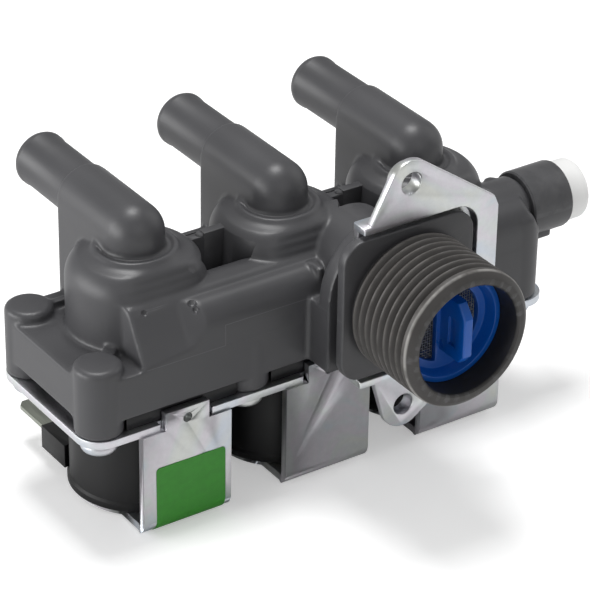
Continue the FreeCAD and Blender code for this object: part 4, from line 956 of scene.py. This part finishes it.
def tube(work, spine, offset, way, wire, middle):
    """A four-sided wire along a waving line, across or up the disc."""
    rings = []
    for along, lift in spine:
        ring = []
        for side, rise in ((wire, 0), (0, wire), (-wire, 0), (0, -wire)):
            point = (along, middle + lift + rise, offset + side)
            ring.append(work.verts.new(point[::-1] if way else point))
        rings.append(ring)
    faces = []
    for first, second in zip(rings, rings[1:]):
        for n in range(4):
            follow = (n + 1) % 4
            faces.append(work.faces.new((first[n], first[follow], second[follow], second[n])))
    faces.append(work.faces.new(rings[0]))
    faces.append(work.faces.new(list(reversed(rings[-1]))))
    bmesh.ops.recalc_face_normals(work, faces=faces)


class VALVE_OT_fittings(bpy.types.Operator):
    """Plug, screws and label"""
    bl_idname = "valve.fittings"
    bl_label = "Plug, Screws and Label"

    def execute(self, context):
        softened("port_plug_cap", "side_port_plug", 0.25, "Plug White")
        softened("pan_screws", "plate_screws", 0.12, "Zinc Screw")
        give_finish(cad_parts["rating_label"].data, "Label Film")
        return {"FINISHED"}


class VALVE_OT_insides(bpy.types.Operator):
    """Finish the pieces that lie inside, and give the plungers steel copies of their springs"""
    bl_idname = "valve.insides"
    bl_label = "Inner Pieces"

    def execute(self, context):
        inner = {
            "coil_winding": "Copper Wire", "coil_bobbin": "Bobbin Nylon",
            "flux_sleeve": "Sleeve Steel", "plunger": "Plunger Steel",
            "plunger_tip": "Rubber", "diaphragm": "Rubber",
            "diaphragm_insert": "Insert White",
        }
        for number in VALVES:
            for name, finish in inner.items():
                give_finish(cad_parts[f"{name}_{number}"].data, finish)
            return_spring(number, context.scene.valve_sizes.plunger_travel)
        give_finish(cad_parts["flow_washer"].data, "Rubber")
        return {"FINISHED"}


def return_spring(number, travel):
    """A steel copy of the plunger's spring in its own mesh, in place of the node."""
    source = f"plunger_spring_{number}"
    piece = linked(f"return_spring_{number}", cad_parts[source].data.copy())
    dress(piece, "Plunger Steel", [source])
    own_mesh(piece)


# Stage in metres

FLOOR_HALF = 3.0
FLOOR_GAP = 0.0004
FLOOR_GLOW = 0.36
SKY_LIGHT = 0.26
SKY_IN_METAL = 0.36
AIM = (-0.01, 0.035, -0.005)
LAMPS = (  # name, place, width and height, watts
    ("key", (-0.97, 0.30, 0.13), (1.1, 0.6), 11.0),
    ("top", (0.02, 0.22, 0.97), (0.35, 0.35), 7.0),
    ("front", (-0.1, -0.8, 0.45), (0.8, 0.6), 1.0),
    ("side", (0.75, -0.1, 0.45), (0.6, 0.7), 1.1),
)
CAMERA_PLACE = (-0.276484, -0.350743, 0.265848)
CAMERA_TURNS = (-34.335, 29.99, 0.98)  # heading, tilt and roll in degrees
SENSOR = 36.0
PHOTO_FOCAL, PHOTO_WIDTH = 2988.5, 590  # in the photograph's pixels


def seen_directly(tree):
    """A Light Path node, and one for the rays that show a surface to the camera."""
    path = tree.nodes.new("ShaderNodeLightPath")
    return path, maths(tree, "MAXIMUM", path.outputs["Is Camera Ray"],
                       path.outputs["Is Transmission Ray"])


def floor_finish(base):
    """Pale floor that shows near white to the camera and keeps the shadow."""
    tree, shader = new_finish("Stage Floor")
    faint = remap(tree, noise(tree, object_place(tree), 8.0, 2.0), 0.3, 0.7)
    fill(tree, shader, {
        "Base Color": two_tone(tree, faint, base, 0.995, 1.005), "Roughness": 0.9,
        "Specular IOR Level": 0.0})
    seen = seen_directly(tree)[1]
    glow = node(tree, "ShaderNodeEmission", {
        "Color": (1, 1, 1, 1), "Strength": times(tree, seen, FLOOR_GLOW)})
    both = node(tree, "ShaderNodeAddShader", {
        0: shader.outputs["BSDF"], 1: glow.outputs["Emission"]})
    fill(tree, tree.nodes["Material Output"], {"Surface": both.outputs["Shader"]})


def lamp(name, place, size, power):
    data = bpy.data.lights.new(name, "AREA")
    data.shape = "RECTANGLE"
    data.size, data.size_y = size
    data.energy = power
    made = linked(name, data)
    made.location = place
    made.rotation_euler = (Vector(AIM) - Vector(place)).to_track_quat("-Z", "Y").to_euler()


def sky():
    """Even white surround, brighter where the camera and metal see it."""
    world = bpy.data.worlds.new("Studio")
    bpy.context.scene.world = world
    world.use_nodes = True
    tree = world.node_tree
    tree.nodes.clear()
    path, seen = seen_directly(tree)
    soft = times(tree, path.outputs["Is Glossy Ray"], SKY_IN_METAL)
    level = maths(tree, "MAXIMUM", maths(tree, "MAXIMUM", seen, soft), SKY_LIGHT)
    back = node(tree, "ShaderNodeBackground", {"Color": (1, 1, 1, 1), "Strength": level})
    node(tree, "ShaderNodeOutputWorld", {"Surface": back.outputs["Background"]})


def aim_camera():
    """Camera at the photograph's place, turned by its heading, tilt and roll."""
    heading, tilt, roll = (math.radians(a) for a in CAMERA_TURNS)
    back = Vector((math.sin(heading) * math.cos(tilt), -math.cos(heading) * math.cos(tilt),
                   math.sin(tilt)))
    right = Vector((math.cos(heading), math.sin(heading), 0))
    up = back.cross(right)
    across = right * math.cos(roll) + up * math.sin(roll)
    above = up * math.cos(roll) - right * math.sin(roll)
    data = bpy.data.cameras.new("Camera")
    data.sensor_width = SENSOR
    data.lens = SENSOR * PHOTO_FOCAL / PHOTO_WIDTH
    data.clip_start, data.clip_end = 0.01, 20.0
    camera = linked("Camera", data)
    camera.matrix_world = Matrix.Translation(CAMERA_PLACE) @ Matrix(
        (across, above, back)).transposed().to_4x4()
    bpy.context.scene.camera = camera


class VALVE_OT_stage(bpy.types.Operator):
    """Pale floor, white surround, soft lamps and the camera"""
    bl_idname = "valve.stage"
    bl_label = "Stage"

    def execute(self, context):
        floor_finish(context.scene.valve_colours.floor)
        work = bmesh.new()
        bmesh.ops.create_grid(work, x_segments=1, y_segments=1, size=FLOOR_HALF)
        bmesh.ops.translate(work, vec=(0, 0, CAD_BOX[0][2] - FLOOR_GAP), verts=work.verts)
        floor = to_object(work, "stage_floor")
        give_finish(floor.data, "Stage Floor")
        sky()
        for settings in LAMPS:
            lamp(*settings)
        aim_camera()
        context.scene.view_settings.view_transform = "Standard"
        return {"FINISHED"}


class VALVE_PT_panel(bpy.types.Panel):
    """Sizes and colours of the valve, and a button for each step"""
    bl_idname = "VALVE_PT_panel"
    bl_label = "Inlet Valve"
    bl_space_type = "VIEW_3D"
    bl_region_type = "UI"
    bl_category = "Inlet Valve"

    def draw(self, context):
        for group in (context.scene.valve_sizes, context.scene.valve_colours):
            for key in group.__annotations__:
                self.layout.prop(group, key)
        for step in STEPS:
            self.layout.operator(step.bl_idname)


STEPS = (
    VALVE_OT_insides, VALVE_OT_body, VALVE_OT_sheet_steel, VALVE_OT_coils,
    VALVE_OT_strainer, VALVE_OT_fittings, VALVE_OT_stage,
)
CLASSES = (ValveSizes, ValveColours, *STEPS, VALVE_PT_panel)


def register():
    for item in CLASSES:
        bpy.utils.register_class(item)
    bpy.types.Scene.valve_sizes = bpy.props.PointerProperty(type=ValveSizes)
    bpy.types.Scene.valve_colours = bpy.props.PointerProperty(type=ValveColours)


def unregister():
    del bpy.types.Scene.valve_sizes
    del bpy.types.Scene.valve_colours
    for item in reversed(CLASSES):
        bpy.utils.unregister_class(item)


def main():
    register()
    make_finishes(bpy.context.scene.valve_colours)
    bpy.ops.valve.insides()
    bpy.ops.valve.body()
    bpy.ops.valve.sheet_steel()
    bpy.ops.valve.coils()
    bpy.ops.valve.strainer()
    bpy.ops.valve.fittings()
    bpy.ops.valve.stage()


if __name__ == "__main__":
    main()
